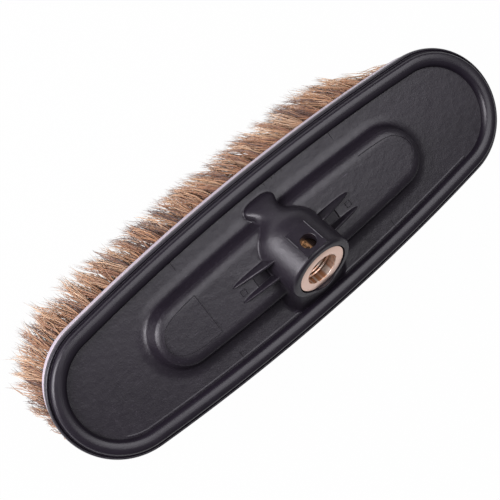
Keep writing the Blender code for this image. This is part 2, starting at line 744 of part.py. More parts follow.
def build_screws(material):
    """Pan-head screws driven up through the board, each with a straight driver slot."""
    seat, face, point_z = screw_levels()
    crown = SCREW_HEAD_HEIGHT / 3
    profile = [
        (SCREW_HEAD_RADIUS - crown, face), (SCREW_HEAD_RADIUS, face + crown), (SCREW_HEAD_RADIUS, seat),
        (SCREW_SHANK_RADIUS, seat), (SCREW_SHANK_RADIUS, point_z - SCREW_SHANK_RADIUS),
        (SCREW_SHANK_RADIUS / 3, point_z),
    ]
    reach, half = SCREW_HEAD_RADIUS + OVERRUN, SCREW_SLOT / 2
    for number, place in enumerate(pilot_places(), 1):
        screw = posts(f"board_screw_{number}", (place,), profile, SMALL_SIDES)
        screw.data.materials.append(material)
        low = (place - reach, -half, face - OVERRUN)
        slot = add_skin(f"slot_cut_{number}", box_rings(low, (place + reach, half, face + crown)))
        combine(screw, slot, "DIFFERENCE")


def build():
    """Makes every sub-part of the brush head."""
    clear_scene()
    cover_plastic = make_material("moulded_black_plastic", (0.040, 0.038, 0.044), 0.42)
    rubber = make_material("black_rubber", (0.022, 0.021, 0.024), 0.50)
    board_plastic = make_material("pale_board", (0.56, 0.53, 0.56), 0.55)
    hair = make_material("natural_hair", (0.31, 0.19, 0.11), 0.80)
    brass = make_material("copper_brass", (0.78, 0.42, 0.28), 0.25, 1.0)
    steel = make_material("stainless_steel", (0.55, 0.55, 0.56), 0.30, 1.0)
    seal_rubber = make_material("seal_rubber", (0.03, 0.03, 0.03), 0.70)
    build_cover(cover_plastic)
    build_bumper(rubber)
    build_insert(brass)
    build_seal(seal_rubber)
    build_gasket(seal_rubber)
    build_board(board_plastic)
    build_screws(steel)
    build_all_tufts(hair)


build()
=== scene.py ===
import json
import random
from math import atan2, cos, pi, radians, sin, sqrt, tan, tau

import bmesh
import bpy
import numpy as np
from mathutils import Matrix, Vector

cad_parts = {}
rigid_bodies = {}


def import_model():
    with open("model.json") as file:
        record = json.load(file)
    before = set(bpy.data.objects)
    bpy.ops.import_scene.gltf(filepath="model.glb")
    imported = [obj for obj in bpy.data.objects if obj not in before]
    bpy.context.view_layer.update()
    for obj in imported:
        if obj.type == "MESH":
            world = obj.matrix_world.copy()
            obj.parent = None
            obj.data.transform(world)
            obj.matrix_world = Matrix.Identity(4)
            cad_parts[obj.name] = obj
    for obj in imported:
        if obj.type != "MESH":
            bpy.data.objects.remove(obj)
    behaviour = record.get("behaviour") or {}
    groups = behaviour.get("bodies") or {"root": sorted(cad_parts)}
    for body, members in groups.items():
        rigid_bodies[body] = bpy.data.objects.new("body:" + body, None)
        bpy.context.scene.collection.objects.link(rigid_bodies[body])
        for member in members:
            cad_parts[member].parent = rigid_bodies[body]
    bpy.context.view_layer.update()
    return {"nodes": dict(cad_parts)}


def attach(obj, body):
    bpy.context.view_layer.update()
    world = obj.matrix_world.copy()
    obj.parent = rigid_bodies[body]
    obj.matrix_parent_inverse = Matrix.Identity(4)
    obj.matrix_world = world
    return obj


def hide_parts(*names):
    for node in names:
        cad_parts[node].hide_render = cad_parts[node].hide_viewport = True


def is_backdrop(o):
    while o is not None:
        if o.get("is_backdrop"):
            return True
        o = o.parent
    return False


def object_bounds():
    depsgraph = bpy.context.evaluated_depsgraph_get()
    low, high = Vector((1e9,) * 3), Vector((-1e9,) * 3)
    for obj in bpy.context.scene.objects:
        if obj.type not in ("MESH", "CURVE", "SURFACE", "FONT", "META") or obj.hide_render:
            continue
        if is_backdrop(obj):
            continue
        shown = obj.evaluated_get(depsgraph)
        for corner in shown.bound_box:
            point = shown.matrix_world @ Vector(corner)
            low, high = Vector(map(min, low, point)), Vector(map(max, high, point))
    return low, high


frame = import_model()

# Camera, floor and light. The camera stands over the head, leaning a little towards its left end
# and its back, as in the photograph. A large soft lamp stands to the left, another overhead, and the
# pale floor shows white to the camera while it keeps the shadow.
CAMERA_PLACE = (-0.140472, 0.117069, 0.581592)
CAMERA_RIGHT = (0.745115, -0.593759, 0.303735)
CAMERA_UP = (0.626206, 0.779561, -0.012262)
CAMERA_BACK = (-0.229499, 0.199338, 0.952678)
FOCAL_SHARE = 1030.7 / 500
SENSOR = 36.0
LAMP_TARGET = (0, 0, 0.07)
LAMPS = (
    ("left_softbox", (-0.82, 0.52, 0.46), (0.62, 1.10), 18.0, "fcf8ff"),
    ("top_softbox", (0.36, 0.27, 1.20), (0.95, 1.00), 9.8, "fbf9ff"),
)
SKY_STRENGTH = 0.13
HALF_FLOOR, FLOOR_WHITENESS, FLOOR_MIRRORED = 3.0, 0.985, 0.38
COLOURS = {"data_type": "RGBA"}


def feed(made, **links):
    """Feeds a node's enabled inputs by name, with a digit for one of several, from values or sockets."""
    for key, value in links.items():
        wanted = key.replace("_", " ").lower()
        names = [socket for socket in made.inputs if socket.enabled and socket.name.lower() == wanted]
        place = 0
        if not names and key[-1].isdigit():
            wanted, place = wanted[:-1].strip(), int(key[-1])
            names = [socket for socket in made.inputs if socket.enabled and socket.name.lower() == wanted]
        if isinstance(value, bpy.types.NodeSocket):
            made.id_data.links.new(value, names[place])
        else:
            names[place].default_value = value


def add_node(tree, kind, settings=None, **links):
    """Adds a node, sets its properties and feeds its inputs."""
    made = tree.nodes.new(kind)
    for key, value in (settings or {}).items():
        setattr(made, key, value)
    feed(made, **links)
    return made


def out(made, name=None):
    """A node's enabled output, the first or the one of that name."""
    for socket in made.outputs:
        if socket.enabled and (name is None or socket.name == name):
            return socket
    return made.outputs[0]


def tone(code):
    """An sRGB hex colour as linear red, green, blue and alpha."""
    parts = [int(code[place:place + 2], 16) / 255 for place in (0, 2, 4)]
    return [p / 12.92 if p <= 0.04045 else ((p + 0.055) / 1.055) ** 2.4 for p in parts] + [1.0]


def new_material(name):
    """A material with its node tree, its Principled shader and its Object coordinates."""
    made = bpy.data.materials.new(name)
    made.use_nodes = True
    tree = made.node_tree
    return made, tree, tree.nodes["Principled BSDF"], out(add_node(tree, "ShaderNodeTexCoord"), "Object")


def add_object(name, data):
    """An object in the scene that holds a mesh, lamp or camera."""
    made = bpy.data.objects.new(name, data)
    bpy.context.scene.collection.objects.link(made)
    return made


def seen_straight(tree):
    """The light path, and a value of 1 for what the camera sees directly or through clear material."""
    ray = add_node(tree, "ShaderNodeLightPath")
    return ray, out(add_node(tree, "ShaderNodeMath", {"operation": "MAXIMUM"},
                             Value0=out(ray, "Is Camera Ray"), Value1=out(ray, "Is Transmission Ray")))


camera = add_object("camera", bpy.data.cameras.new("camera"))
camera.data.sensor_width = SENSOR
camera.data.lens = SENSOR * FOCAL_SHARE
camera.data.clip_start = 0.01
turn = Matrix((CAMERA_RIGHT, CAMERA_UP, CAMERA_BACK)).transposed().to_4x4()
turn.translation = CAMERA_PLACE
camera.matrix_world = turn
bpy.context.scene.camera = camera
bpy.context.scene.view_settings.view_transform = "Standard"

for name, place, size, power, colour in LAMPS:
    lamp = bpy.data.lights.new(name, "AREA")
    lamp.shape, lamp.energy, lamp.color = "RECTANGLE", power, tone(colour)[:3]
    lamp.size, lamp.size_y = size
    made = add_object(name, lamp)
    made.location = place
    made.rotation_euler = (Vector(LAMP_TARGET) - Vector(place)).to_track_quat("-Z", "Y").to_euler()

world = bpy.data.worlds.new("studio")
bpy.context.scene.world = world
world.use_nodes = True
sky = world.node_tree
sky.nodes.clear()
ray, seen = seen_straight(sky)
dim = add_node(sky, "ShaderNodeBackground", Color=tone("f4f4f8"), Strength=SKY_STRENGTH)
white = add_node(sky, "ShaderNodeBackground", Color=tone("ffffff"))
mixed = add_node(sky, "ShaderNodeMixShader", Fac=seen, Shader0=out(dim), Shader1=out(white))
add_node(sky, "ShaderNodeOutputWorld", Surface=out(mixed))

floor_mesh = bpy.data.meshes.new("floor")
floor_mesh.from_pydata([(x * HALF_FLOOR, y * HALF_FLOOR, 0) for x, y in ((-1, -1), (1, -1), (1, 1), (-1, 1))],
                       [], [(0, 1, 2, 3)])
floor = add_object("floor", floor_mesh)
paper, tree, shader, _ = new_material("white backdrop paper")
feed(shader, Base_Color=tone("cbcbce"), Roughness=0.9)
ray, seen = seen_straight(tree)
share = add_node(tree, "ShaderNodeMapRange", Value=seen, To_Max=FLOOR_WHITENESS)
mirrored = add_node(tree, "ShaderNodeMath", {"operation": "MULTIPLY"},
                    Value0=out(ray, "Is Glossy Ray"), Value1=FLOOR_MIRRORED)
share = add_node(tree, "ShaderNodeMath", {"operation": "MAXIMUM"}, Value0=out(share), Value1=out(mirrored))
glow = add_node(tree, "ShaderNodeEmission", Color=tone("ffffff"))
mixed = add_node(tree, "ShaderNodeMixShader", Fac=out(share), Shader0=out(shader), Shader1=out(glow))
feed(tree.nodes["Material Output"], Surface=out(mixed))
floor_mesh.materials.append(paper)
floor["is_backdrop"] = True

# The bristle board: a pale grey-white plastic slab, injection moulded, whose edge shows as a light
# strip under the bumper. It is drilled through for the water, counterbored for four screws, and
# clamped under the cover. Its underside carries the tufts.
LENGTH, WIDTH, END_RADIUS = 0.300, 0.0884, 0.0385
OVAL = (LENGTH, WIDTH, END_RADIUS)
GAP, OVERRUN = 0.0003, 0.001
SIDE_PARTS, END_PARTS, DRILL_SIDES, WELL_SIDES = 64, 48, 32, 40
BOARD_LOW, BOARD_TOP = 0.0550, 0.0645
BOARD_INSET, BOARD_EDGE = 0.0005, 0.0007
SCREW_PLACES = (-0.119, -0.060, 0.060, 0.119)
SCREW_SEAT, SCREW_WELL, SCREW_BORE = 0.0580, 0.0037, 0.0022
OUTLET_PITCH, OUTLET_RADIUS, OUTLETS_EACH_WAY = 0.024, 0.0018, 3


def polar(radius, angle, height=0.0):
    """A point round the upright axis."""
    return Vector((radius * cos(angle), radius * sin(angle), height))


def oval_stations(length, width, end_radius, side_parts, end_parts, offset=0.0):
    """Stations round a four-arc oval, anticlockwise from +X: centre, direction and radius."""
    reach, half = length / 2 - end_radius, width / 2
    side_radius = (reach ** 2 + half ** 2 - end_radius ** 2) / (2 * (half - end_radius))
    lean = atan2(reach, side_radius - half)
    quarter, drop = pi / 2, side_radius - half
    arcs = (
        ((reach, offset), end_radius, lean - quarter, quarter - lean, end_parts),
        ((0, offset - drop), side_radius, quarter - lean, quarter + lean, side_parts),
        ((-reach, offset), end_radius, quarter + lean, 3 * quarter - lean, end_parts),
        ((0, offset + drop), side_radius, 3 * quarter - lean, 3 * quarter + lean, side_parts),
    )
    stations = []
    for centre, radius, first, last, parts in arcs:
        for part in range(parts):
            angle = first + (last - first) * part / parts
            stations.append((Vector((*centre, 0)), polar(1.0, angle), radius))
    return stations


def oval_ring(stations, inset, height):
    """The ring of an oval drawn in by an inset, at one height."""
    return [Vector((*(c + d * (r - inset)).xy, height)) for c, d, r in stations]


def dress(body, material, sharp=38.0):
    """Makes a body smooth but for its sharp edges and gives it its material."""
    body.data.shade_smooth()
    body.data.set_sharp_from_angle(angle=radians(sharp))
    if material is not None:
        body.data.materials.clear()
        body.data.materials.append(material)
    return body


def add_piece(name, points, faces, material=None, sharp=38.0):
    """A mesh object with its faces outwards, smooth but for its sharp edges."""
    work = bmesh.new()
    corners = [work.verts.new(point) for point in points]
    for face in faces:
        work.faces.new([corners[index] for index in face])
    bmesh.ops.recalc_face_normals(work, faces=work.faces)
    mesh = bpy.data.meshes.new(name)
    work.to_mesh(mesh)
    work.free()
    return dress(add_object(name, mesh), material, sharp)


def ring_faces(rings, looped, start=0):
    """Quads between rings of equal size; an open stack gets a cap at each end."""
    count, size = len(rings), len(rings[0])
    faces = []
    for row in range(count if looped else count - 1):
        low, high = start + row * size, start + (row + 1) % count * size
        for step in range(size):
            after = (step + 1) % size
            faces.append((low + step, low + after, high + after, high + step))
    if not looped:
        last = start + (count - 1) * size
        faces += [tuple(range(start, start + size)), tuple(range(last, last + size))]
    return faces


def add_loft(name, rings, looped=False, material=None, sharp=38.0):
    """A closed body through rings."""
    return add_piece(name, [p for ring in rings for p in ring], ring_faces(rings, looped), material, sharp)


def add_stacks(name, stacks, material=None, sharp=38.0):
    """One mesh of several lofts that stand apart."""
    points, faces = [], []
    for rings in stacks:
        faces += ring_faces(rings, False, len(points))
        points += [point for ring in rings for point in ring]
    return add_piece(name, points, faces, material, sharp)


def turned(profile, sides, place=(0, 0, 0)):
    """Rings round an upright axis through (radius, height) points."""
    rings = []
    for radius, height in profile:
        rings.append([polar(radius, tau * side / sides, height) + Vector(place) for side in range(sides)])
    return rings


def cut(body, tool, operation="DIFFERENCE"):
    """Applies a Boolean with a tool body and removes the tool."""
    step = body.modifiers.new("cut", "BOOLEAN")
    step.operation, step.solver, step.object = operation, "MANIFOLD", tool
    bake(body)
    bpy.data.objects.remove(tool, do_unlink=True)
    return body


def bake(body):
    """Applies a body's modifiers to its mesh."""
    graph = bpy.context.evaluated_depsgraph_get()
    mesh = bpy.data.meshes.new_from_object(body.evaluated_get(graph))
    body.modifiers.clear()
    body.data = mesh
    return body


# Pale moulded plastic: a fine satin grain of 0.4 mm and faint clouds, 2 cm wide, where the melt flowed.
board_plastic, tree, shader, place = new_material("pale moulded polypropylene")
cloud = add_node(tree, "ShaderNodeTexNoise", Vector=place, Scale=55.0, Detail=4.0, Roughness=0.6)
tint = add_node(tree, "ShaderNodeMix", COLOURS, Factor=out(cloud, "Fac"), A=tone("b5abb4"), B=tone("c6bdc6"))
grain = add_node(tree, "ShaderNodeTexNoise", Vector=place, Scale=2600.0, Detail=2.0)
bump = add_node(tree, "ShaderNodeBump", Strength=0.15, Distance=0.00004, Height=out(grain, "Fac"))
feed(shader, Base_Color=out(tint), Roughness=0.48, IOR=1.49, Normal=out(bump))

plan = oval_stations(*OVAL, SIDE_PARTS, END_PARTS)
rings = []
for turn_degrees in (0, 22.5, 45, 67.5, 90):
    angle = radians(turn_degrees)
    rings.append(oval_ring(plan, BOARD_INSET + BOARD_EDGE * (1 - sin(angle)),
                           BOARD_LOW + BOARD_EDGE * (1 - cos(angle))))
rings.append(oval_ring(plan, BOARD_INSET, BOARD_TOP))
board = add_loft("bristle_board_slab", rings)
low, high, seat = BOARD_LOW - OVERRUN, BOARD_TOP + OVERRUN, SCREW_SEAT + GAP
outlet = [(OUTLET_RADIUS, low), (OUTLET_RADIUS, high)]
well = [(SCREW_WELL, low), (SCREW_WELL, seat), (SCREW_BORE, seat), (SCREW_BORE, high)]
drills = [turned(outlet, DRILL_SIDES, (step * OUTLET_PITCH, 0, 0))
          for step in range(-OUTLETS_EACH_WAY, OUTLETS_EACH_WAY + 1)]
drills += [turned(well, WELL_SIDES, (spot, 0, 0)) for spot in SCREW_PLACES]
cut(board, add_stacks("drills", drills))
dress(board, board_plastic)
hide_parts("bristle_board")
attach(board, "root")

# The tufts: bunches of coarse natural hair, drawn into the board in three rings that follow its
# outline and two straight rows inside them. Each tuft falls into a few locks of wavy hairs, brown
# and dark grey to blond, and the whole field of hair is combed a little towards the left end.
TUFT_PITCH, TUFT_RADIUS, LOCK_RADIUS = 0.0072, 0.0021, 0.00055
# Each ring's node, inset, splay in degrees at the sides and at the ends, and locks in a tuft.
RINGS = (("tufts_outer_ring", 0.0050, 14.0, 4.0, 9), ("tufts_second_ring", 0.0135, 9.0, 2.5, 8),
         ("tufts_third_ring", 0.0220, 4.5, 1.0, 7))
INNER_ROWS = (("tufts_inner_row_front", -1), ("tufts_inner_row_rear", 1))
ROW_OFFSET, ROW_LENGTH, ROW_SPLAY, ROW_LOCKS = 0.0074, 0.222, 2.0, 7
COMBED, COMBED_MORE, LEAN_ERROR = -0.095, -0.060, 0.022
# Where the hair hangs straighter: spans over which it sets in, and shares of splay and comb it loses.
RIGHT_SPAN, REARWARD_SPAN, RIGHT_SPLAY_LOST = (0.096, 0.116), (0.0, 0.625), 1.15
LEFT_SPAN, FRONT_SPAN, FRONT_SPLAY_LOST, FRONT_COMB_LOST = (-0.100, -0.130), (0.006, -0.010), 0.8, 0.9
TIP_LIMITS = (0.1560, 0.0545)
HAIR_ROOT, HAIR_TIP, HAIR_LENGTH, ROOT_DEPTH = 0.00025, 0.00012, 0.0550, 0.0006
HAIR_SIDES, HAIR_STEPS, HAIR_KINDS, HAIRS_IN_LOCK = 3, 4, 14, 9
STEP_POWER, TAPER_POWER, LOOSE_POWER, SHORT_POWER = 0.85, 1.5, 12.0, 3.5
HAIR_BOWS, HAIR_WAVES, HAIR_HOOKS, WAVE_TURN = (-0.0020, 0.0040), (0.0003, 0.0013), (-0.0028, 0.0028), 7.5
HAIR_FAN, HAIR_STRAYING, LOOSE_STRAYING, SHORTEST_CUT = 0.010, 0.017, 0.06, 0.68
LOCK_FAN, LOCK_STRAYING, LOCK_REACHES = 0.050, (0.060, 0.040), (0.93, 1.0)
TUFT_SHADE, TUFT_SHADE_ERROR, LOCK_SHADE_ERROR, HAIR_SHADE_ERROR = 0.60, 0.08, 0.36, 0.20

# Coarse natural hair: keratin with a soft waxy sheen, each hair of its own shade between dark grey
# and blond. Along it, painted shade darkens the root where the tuft shades it, and the hair turns paler
# towards its tip, partly bleached and partly painted light that stands in for light shining through it.
horsehair, tree, shader, place = new_material("natural horsehair")
tints = []
# The ramp along each hair, hair_run, holds painted shade at the root and painted light at the tip.
for mark, stops in (
        ("hair_shade", ((0.0, "2a2024"), (0.14, "5a3d33"), (0.34, "966b50"), (0.56, "c39670"),
                        (0.78, "dfb98f"), (1.0, "f2dabb"))),
        ("hair_run", ((0.0, "9a7a66"), (0.45, "e4d4c6"), (0.85, "fffaf6"), (1.0, "fff0ea")))):
    marked = add_node(tree, "ShaderNodeAttribute", {"attribute_name": mark})
    ramp = add_node(tree, "ShaderNodeValToRGB", Fac=out(marked, "Fac"))
    for index, (spot, code) in enumerate(stops):
        stop = ramp.color_ramp.elements[index] if index < 2 else ramp.color_ramp.elements.new(spot)
        stop.position, stop.color = spot, tone(code)
    tints.append(out(ramp, "Color"))
hair_tint_with_painted_light = add_node(tree, "ShaderNodeMix", {"data_type": "RGBA", "blend_type": "MULTIPLY"}, Factor=1.0,
                A=tints[0], B=tints[1])
feed(shader, Base_Color=out(hair_tint_with_painted_light), Roughness=0.5, IOR=1.55, Sheen_Weight=0.2)

hair_kinds = bpy.data.collections.new("hair_kinds")
bpy.context.scene.collection.children.link(hair_kinds)
chance = random.Random(7)
for kind in range(HAIR_KINDS):
    bow, wave = chance.uniform(*HAIR_BOWS), chance.uniform(*HAIR_WAVES)
    phase, hook = chance.uniform(0, tau), chance.uniform(*HAIR_HOOKS)
    points, runs = [], []
    for step in range(HAIR_STEPS + 1):
        along = (step / HAIR_STEPS) ** STEP_POWER
        thick = HAIR_ROOT + (HAIR_TIP - HAIR_ROOT) * along ** TAPER_POWER if step < HAIR_STEPS else 0.0
        sway = Vector((bow * sin(pi * along) + hook * along ** 4,
                       wave * (sin(phase + WAVE_TURN * along) - sin(phase)), HAIR_LENGTH * along))
        for side in range(HAIR_SIDES if step < HAIR_STEPS else 1):
            angle = tau * side / HAIR_SIDES
            points.append(sway + polar(thick, angle))
            runs.append(along)
    faces = []
    for step in range(HAIR_STEPS - 1):
        start = step * HAIR_SIDES
        for side in range(HAIR_SIDES):
            after = (side + 1) % HAIR_SIDES
            faces.append((start + side, start + after, start + HAIR_SIDES + after, start + HAIR_SIDES + side))
    last = (HAIR_STEPS - 1) * HAIR_SIDES
    faces += [(last + side, last + (side + 1) % HAIR_SIDES, len(points) - 1) for side in range(HAIR_SIDES)]
    faces.append(tuple(range(HAIR_SIDES)))
    hair = add_piece(f"hair_{kind}", points, faces, None, 180)
    marks = hair.data.attributes.new("hair_run", "FLOAT", "POINT")
    for index, value in enumerate(runs):
        marks.data[index].value = value
    bpy.context.scene.collection.objects.unlink(hair)
    hair_kinds.objects.link(hair)

tuft_tree = bpy.data.node_groups.new("locks of hair", "GeometryNodeTree")
for label, kind in (("Locks", "Geometry"), ("Hairs In Lock", "Int"), ("Lock Radius", "Float"),
                    ("Fan", "Float"), ("Straying", "Float"), ("Kinds", "Collection"),
                    ("Hair", "Material"), ("Seed", "Int")):
    tuft_tree.interface.new_socket(label, in_out="INPUT", socket_type=f"NodeSocket{kind}")
tuft_tree.interface.new_socket("Locks", in_out="OUTPUT", socket_type="NodeSocketGeometry")
given = add_node(tuft_tree, "NodeGroupInput")
drawn = {}
for number, (label, kind, low, high) in enumerate((
        ("spot", "FLOAT_VECTOR", (-0.85, -0.85, 0), (0.85, 0.85, 0)),
        ("stray", "FLOAT_VECTOR", (-1, -1, 0), (1, 1, 0)), ("loose", "FLOAT", 0.0, 1.0),
        ("spin", "FLOAT", 0.0, tau), ("short", "FLOAT", 0.0, SHORTEST_CUT),
        ("kind", "INT", 0, HAIR_KINDS - 1), ("wide", "FLOAT", 0.7, 1.3), ("deep", "FLOAT", 0.7, 1.3),
        ("shade", "FLOAT", -HAIR_SHADE_ERROR, HAIR_SHADE_ERROR))):
    own_seed = add_node(tuft_tree, "ShaderNodeMath", {"operation": "ADD"},
                        Value0=out(given, "Seed"), Value1=float(number))
    drawn[label] = out(add_node(tuft_tree, "FunctionNodeRandomValue", {"data_type": kind}, Min=low, Max=high,
                                Seed=out(own_seed)))
held = {label: out(add_node(tuft_tree, "GeometryNodeInputNamedAttribute", {"data_type": kind}, Name=label))
        for label, kind in (("lean", "FLOAT_VECTOR"), ("lock_shade", "FLOAT"), ("lock_reach", "FLOAT"))}
many = add_node(tuft_tree, "GeometryNodeDuplicateElements", {"domain": "POINT"},
                Geometry=out(given, "Locks"), Amount=out(given, "Hairs In Lock"))
aside = add_node(tuft_tree, "ShaderNodeVectorMath", {"operation": "SCALE"}, Vector=drawn["spot"],
                 Scale=out(given, "Lock Radius"))
moved = add_node(tuft_tree, "GeometryNodeSetPosition", Geometry=out(many, "Geometry"), Offset=out(aside))
fanned = add_node(tuft_tree, "ShaderNodeVectorMath", {"operation": "SCALE"}, Vector=drawn["spot"],
                  Scale=out(given, "Fan"))
rare = add_node(tuft_tree, "ShaderNodeMath", {"operation": "POWER"}, Value0=drawn["loose"],
                Value1=LOOSE_POWER)
amount = add_node(tuft_tree, "ShaderNodeMath", {"operation": "MULTIPLY_ADD"}, Value0=out(rare),
                  Value1=LOOSE_STRAYING, Value2=out(given, "Straying"))
strayed = add_node(tuft_tree, "ShaderNodeVectorMath", {"operation": "SCALE"}, Vector=drawn["stray"],
                   Scale=out(amount))
bunched = add_node(tuft_tree, "ShaderNodeVectorMath", {"operation": "ADD"}, Vector0=held["lean"],
                   Vector1=out(fanned))
way = add_node(tuft_tree, "ShaderNodeVectorMath", {"operation": "ADD"}, Vector0=out(bunched),
               Vector1=out(strayed))
aim = add_node(tuft_tree, "FunctionNodeAlignRotationToVector", {"axis": "Z"}, Vector=out(way))
spin = add_node(tuft_tree, "ShaderNodeCombineXYZ", Z=drawn["spin"])
aimed = add_node(tuft_tree, "FunctionNodeRotateRotation", {"rotation_space": "LOCAL"}, Rotation=out(aim),
                 Rotate_By=out(spin))
slant = add_node(tuft_tree, "ShaderNodeVectorMath", {"operation": "LENGTH"}, Vector=out(way))
whole = add_node(tuft_tree, "ShaderNodeMath", {"operation": "MULTIPLY"}, Value0=out(slant, "Value"),
                 Value1=held["lock_reach"])
short = add_node(tuft_tree, "ShaderNodeMath", {"operation": "POWER"}, Value0=drawn["short"],
                 Value1=SHORT_POWER)
left = add_node(tuft_tree, "ShaderNodeMath", {"operation": "SUBTRACT"}, Value0=1.0, Value1=out(short))
reach = add_node(tuft_tree, "ShaderNodeMath", {"operation": "MULTIPLY"}, Value0=out(whole), Value1=out(left))
size = add_node(tuft_tree, "ShaderNodeCombineXYZ", X=drawn["wide"], Y=drawn["deep"], Z=out(reach))
kinds = add_node(tuft_tree, "GeometryNodeCollectionInfo", Collection=out(given, "Kinds"),
                 Separate_Children=True, Reset_Children=True)
placed = add_node(tuft_tree, "GeometryNodeInstanceOnPoints", Points=out(moved), Instance=out(kinds),
                  Pick_Instance=True, Instance_Index=drawn["kind"], Rotation=out(aimed), Scale=out(size))
shade = add_node(tuft_tree, "ShaderNodeMath", {"operation": "ADD"}, Value0=held["lock_shade"],
                 Value1=drawn["shade"])
shaded = add_node(tuft_tree, "GeometryNodeStoreNamedAttribute", {"data_type": "FLOAT", "domain": "INSTANCE"},
                  Geometry=out(placed), Name="hair_shade", Value=out(shade))
real = add_node(tuft_tree, "GeometryNodeRealizeInstances", Geometry=out(shaded))
clad = add_node(tuft_tree, "GeometryNodeSetMaterial", Geometry=out(real), Material=out(given, "Hair"))
add_node(tuft_tree, "NodeGroupOutput", Locks=out(clad))
SOCKETS = {item.name: item.identifier for item in tuft_tree.interface.items_tree if item.in_out == "INPUT"}


def add_tufts(node, roots, leans, locks, seed):
    """Grows the locks of one ring or row of tufts and fixes the piece in place of its CAD node."""
    draw = random.Random(seed)
    points, ways, shades, reaches = [], [], [], []
    for root, lean in zip(roots, leans):
        tuft_shade = TUFT_SHADE + draw.uniform(-TUFT_SHADE_ERROR, TUFT_SHADE_ERROR)
        for lock in range(locks):
            angle, away = draw.uniform(0, tau), sqrt((lock + 0.5) / locks)
            aside = polar(1.0, angle) * away
            spot = root + aside * TUFT_RADIUS
            way = lean + aside * LOCK_FAN
            way += Vector((draw.gauss(0, LOCK_STRAYING[0]), draw.gauss(0, LOCK_STRAYING[1]), 0))
            for axis, limit in enumerate(TIP_LIMITS):
                most = (limit - abs(spot[axis])) / HAIR_LENGTH
                if spot[axis] * way[axis] > 0:
                    way[axis] = max(-most, min(most, way[axis]))
            points.append(spot)
            ways.append(way)
            shades.append(tuft_shade + draw.uniform(-LOCK_SHADE_ERROR, LOCK_SHADE_ERROR))
            reaches.append(draw.uniform(*LOCK_REACHES))
    mesh = bpy.data.meshes.new(node + "_hair")
    mesh.from_pydata(points, [], [])
    for label, kind, field, values in (
            ("lean", "FLOAT_VECTOR", "vector", ways), ("lock_shade", "FLOAT", "value", shades),
            ("lock_reach", "FLOAT", "value", reaches)):
        marks = mesh.attributes.new(label, kind, "POINT")
        for index, value in enumerate(values):
            setattr(marks.data[index], field, value)
    made = add_object(node + "_hair", mesh)
    step = made.modifiers.new("hair", "NODES")
    step.node_group = tuft_tree
    for label, value in (("Hairs In Lock", HAIRS_IN_LOCK), ("Lock Radius", LOCK_RADIUS), ("Fan", HAIR_FAN),
                         ("Straying", HAIR_STRAYING), ("Kinds", hair_kinds), ("Hair", horsehair),
                         ("Seed", seed)):
        step[SOCKETS[label]] = value
    made.update_tag()
    bake(made)
    made.data.shade_smooth()
    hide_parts(node)
    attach(made, "root")


def share_of_span(value, start, end):
    """How far a value has come from start to end, from 0 to 1."""
    return min(1.0, max(0.0, (value - start) / (end - start)))


def leaning(spot, way, side_degrees, end_degrees, draw):
    """A tuft's lean for its place on the outline, straighter at the rear right and the left front."""
    right = share_of_span(spot.x, *RIGHT_SPAN) * share_of_span(way.y, *REARWARD_SPAN)
    left = share_of_span(spot.x, *LEFT_SPAN) * share_of_span(spot.y, *FRONT_SPAN)
    x = tan(radians(end_degrees)) * way.x * (1 - FRONT_SPLAY_LOST * left)
    x += COMBED * (1 - FRONT_COMB_LOST * left) + COMBED_MORE * right
    y = tan(radians(side_degrees)) * way.y * (1 - RIGHT_SPLAY_LOST * right)
    return Vector((x + draw.gauss(0, LEAN_ERROR), y + draw.gauss(0, LEAN_ERROR), -1.0))


root_height = BOARD_LOW + ROOT_DEPTH
side_radius = plan[END_PARTS][2]
side_lean = atan2(LENGTH / 2 - END_RADIUS, side_radius - WIDTH / 2)
for step, (node, inset, side_splay, end_splay, locks) in enumerate(RINGS):
    side_parts = round(2 * side_lean * (side_radius - inset) / TUFT_PITCH)
    end_parts = round((pi - 2 * side_lean) * (END_RADIUS - inset) / TUFT_PITCH)
    stations = oval_stations(*OVAL, side_parts, end_parts)
    spots = oval_ring(stations, inset, root_height)
    draw = random.Random(20 + step)
    roots, leans = [], []
    for index, spot in enumerate(spots):
        after = (index + 1) % len(spots)
        outwards = (stations[index][1] + stations[after][1]).normalized()
        roots.append((spot + spots[after]) / 2)
        leans.append(leaning(spot, outwards, side_splay, end_splay, draw))
    add_tufts(node, roots, leans, locks, 40 + step)
row_parts = round(ROW_LENGTH / TUFT_PITCH)
for step, (node, side) in enumerate(INNER_ROWS):
    draw = random.Random(30 + step)
    roots = [Vector((((part + 0.5) / row_parts - 0.5) * ROW_LENGTH, side * ROW_OFFSET, root_height))
             for part in range(row_parts)]
    leans = [leaning(root, Vector((0, side, 0)), ROW_SPLAY, 0.0, draw) for root in roots]
    add_tufts(node, roots, leans, ROW_LOCKS, 50 + step)
for hair in list(hair_kinds.objects):
    bpy.data.objects.remove(hair, do_unlink=True)
bpy.data.collections.remove(hair_kinds)

# The bumper: a soft black rubber ring with an outer shoulder, a groove and a rounded bead, stretched
# over the cover plate's edge. It grips the plate's flange in a slot, and its leg hangs down to the board.
BUMPER_WIDTH, BUMPER_SKIRT, BEAD_RISE = 0.0107, 0.0050, 0.0063
SEAM_Z, BASE_Z, FLOOR_Z, FLANGE_Z = 0.0698, 0.0648, 0.0720, 0.0690
FLANGE_INSET, PLATE_INSET = 0.0060, 0.0095
RIM_SIDE_PARTS, RIM_END_PARTS = 96, 72
# The section's points as shares of its width and of the bead's rise or the skirt's drop.
TOP_SHARES = (
    (0.0, 0.0), (0.015, 0.18), (0.05, 0.33), (0.09, 0.38), (0.13, 0.35), (0.165, 0.27), (0.20, 0.25),
    (0.225, 0.33), (0.24, 0.50), (0.255, 0.66), (0.285, 0.80), (0.33, 0.90), (0.40, 0.965), (0.565, 1.0),
    (0.69, 0.98), (0.785, 0.94), (0.88, 0.855), (0.95, 0.70), (0.985, 0.52),
)
SKIRT_SHARES = ((0.11, 1.0), (0.03, 0.76), (0.0, 0.36))
SKIRT_FOOT_SHARE = 0.16


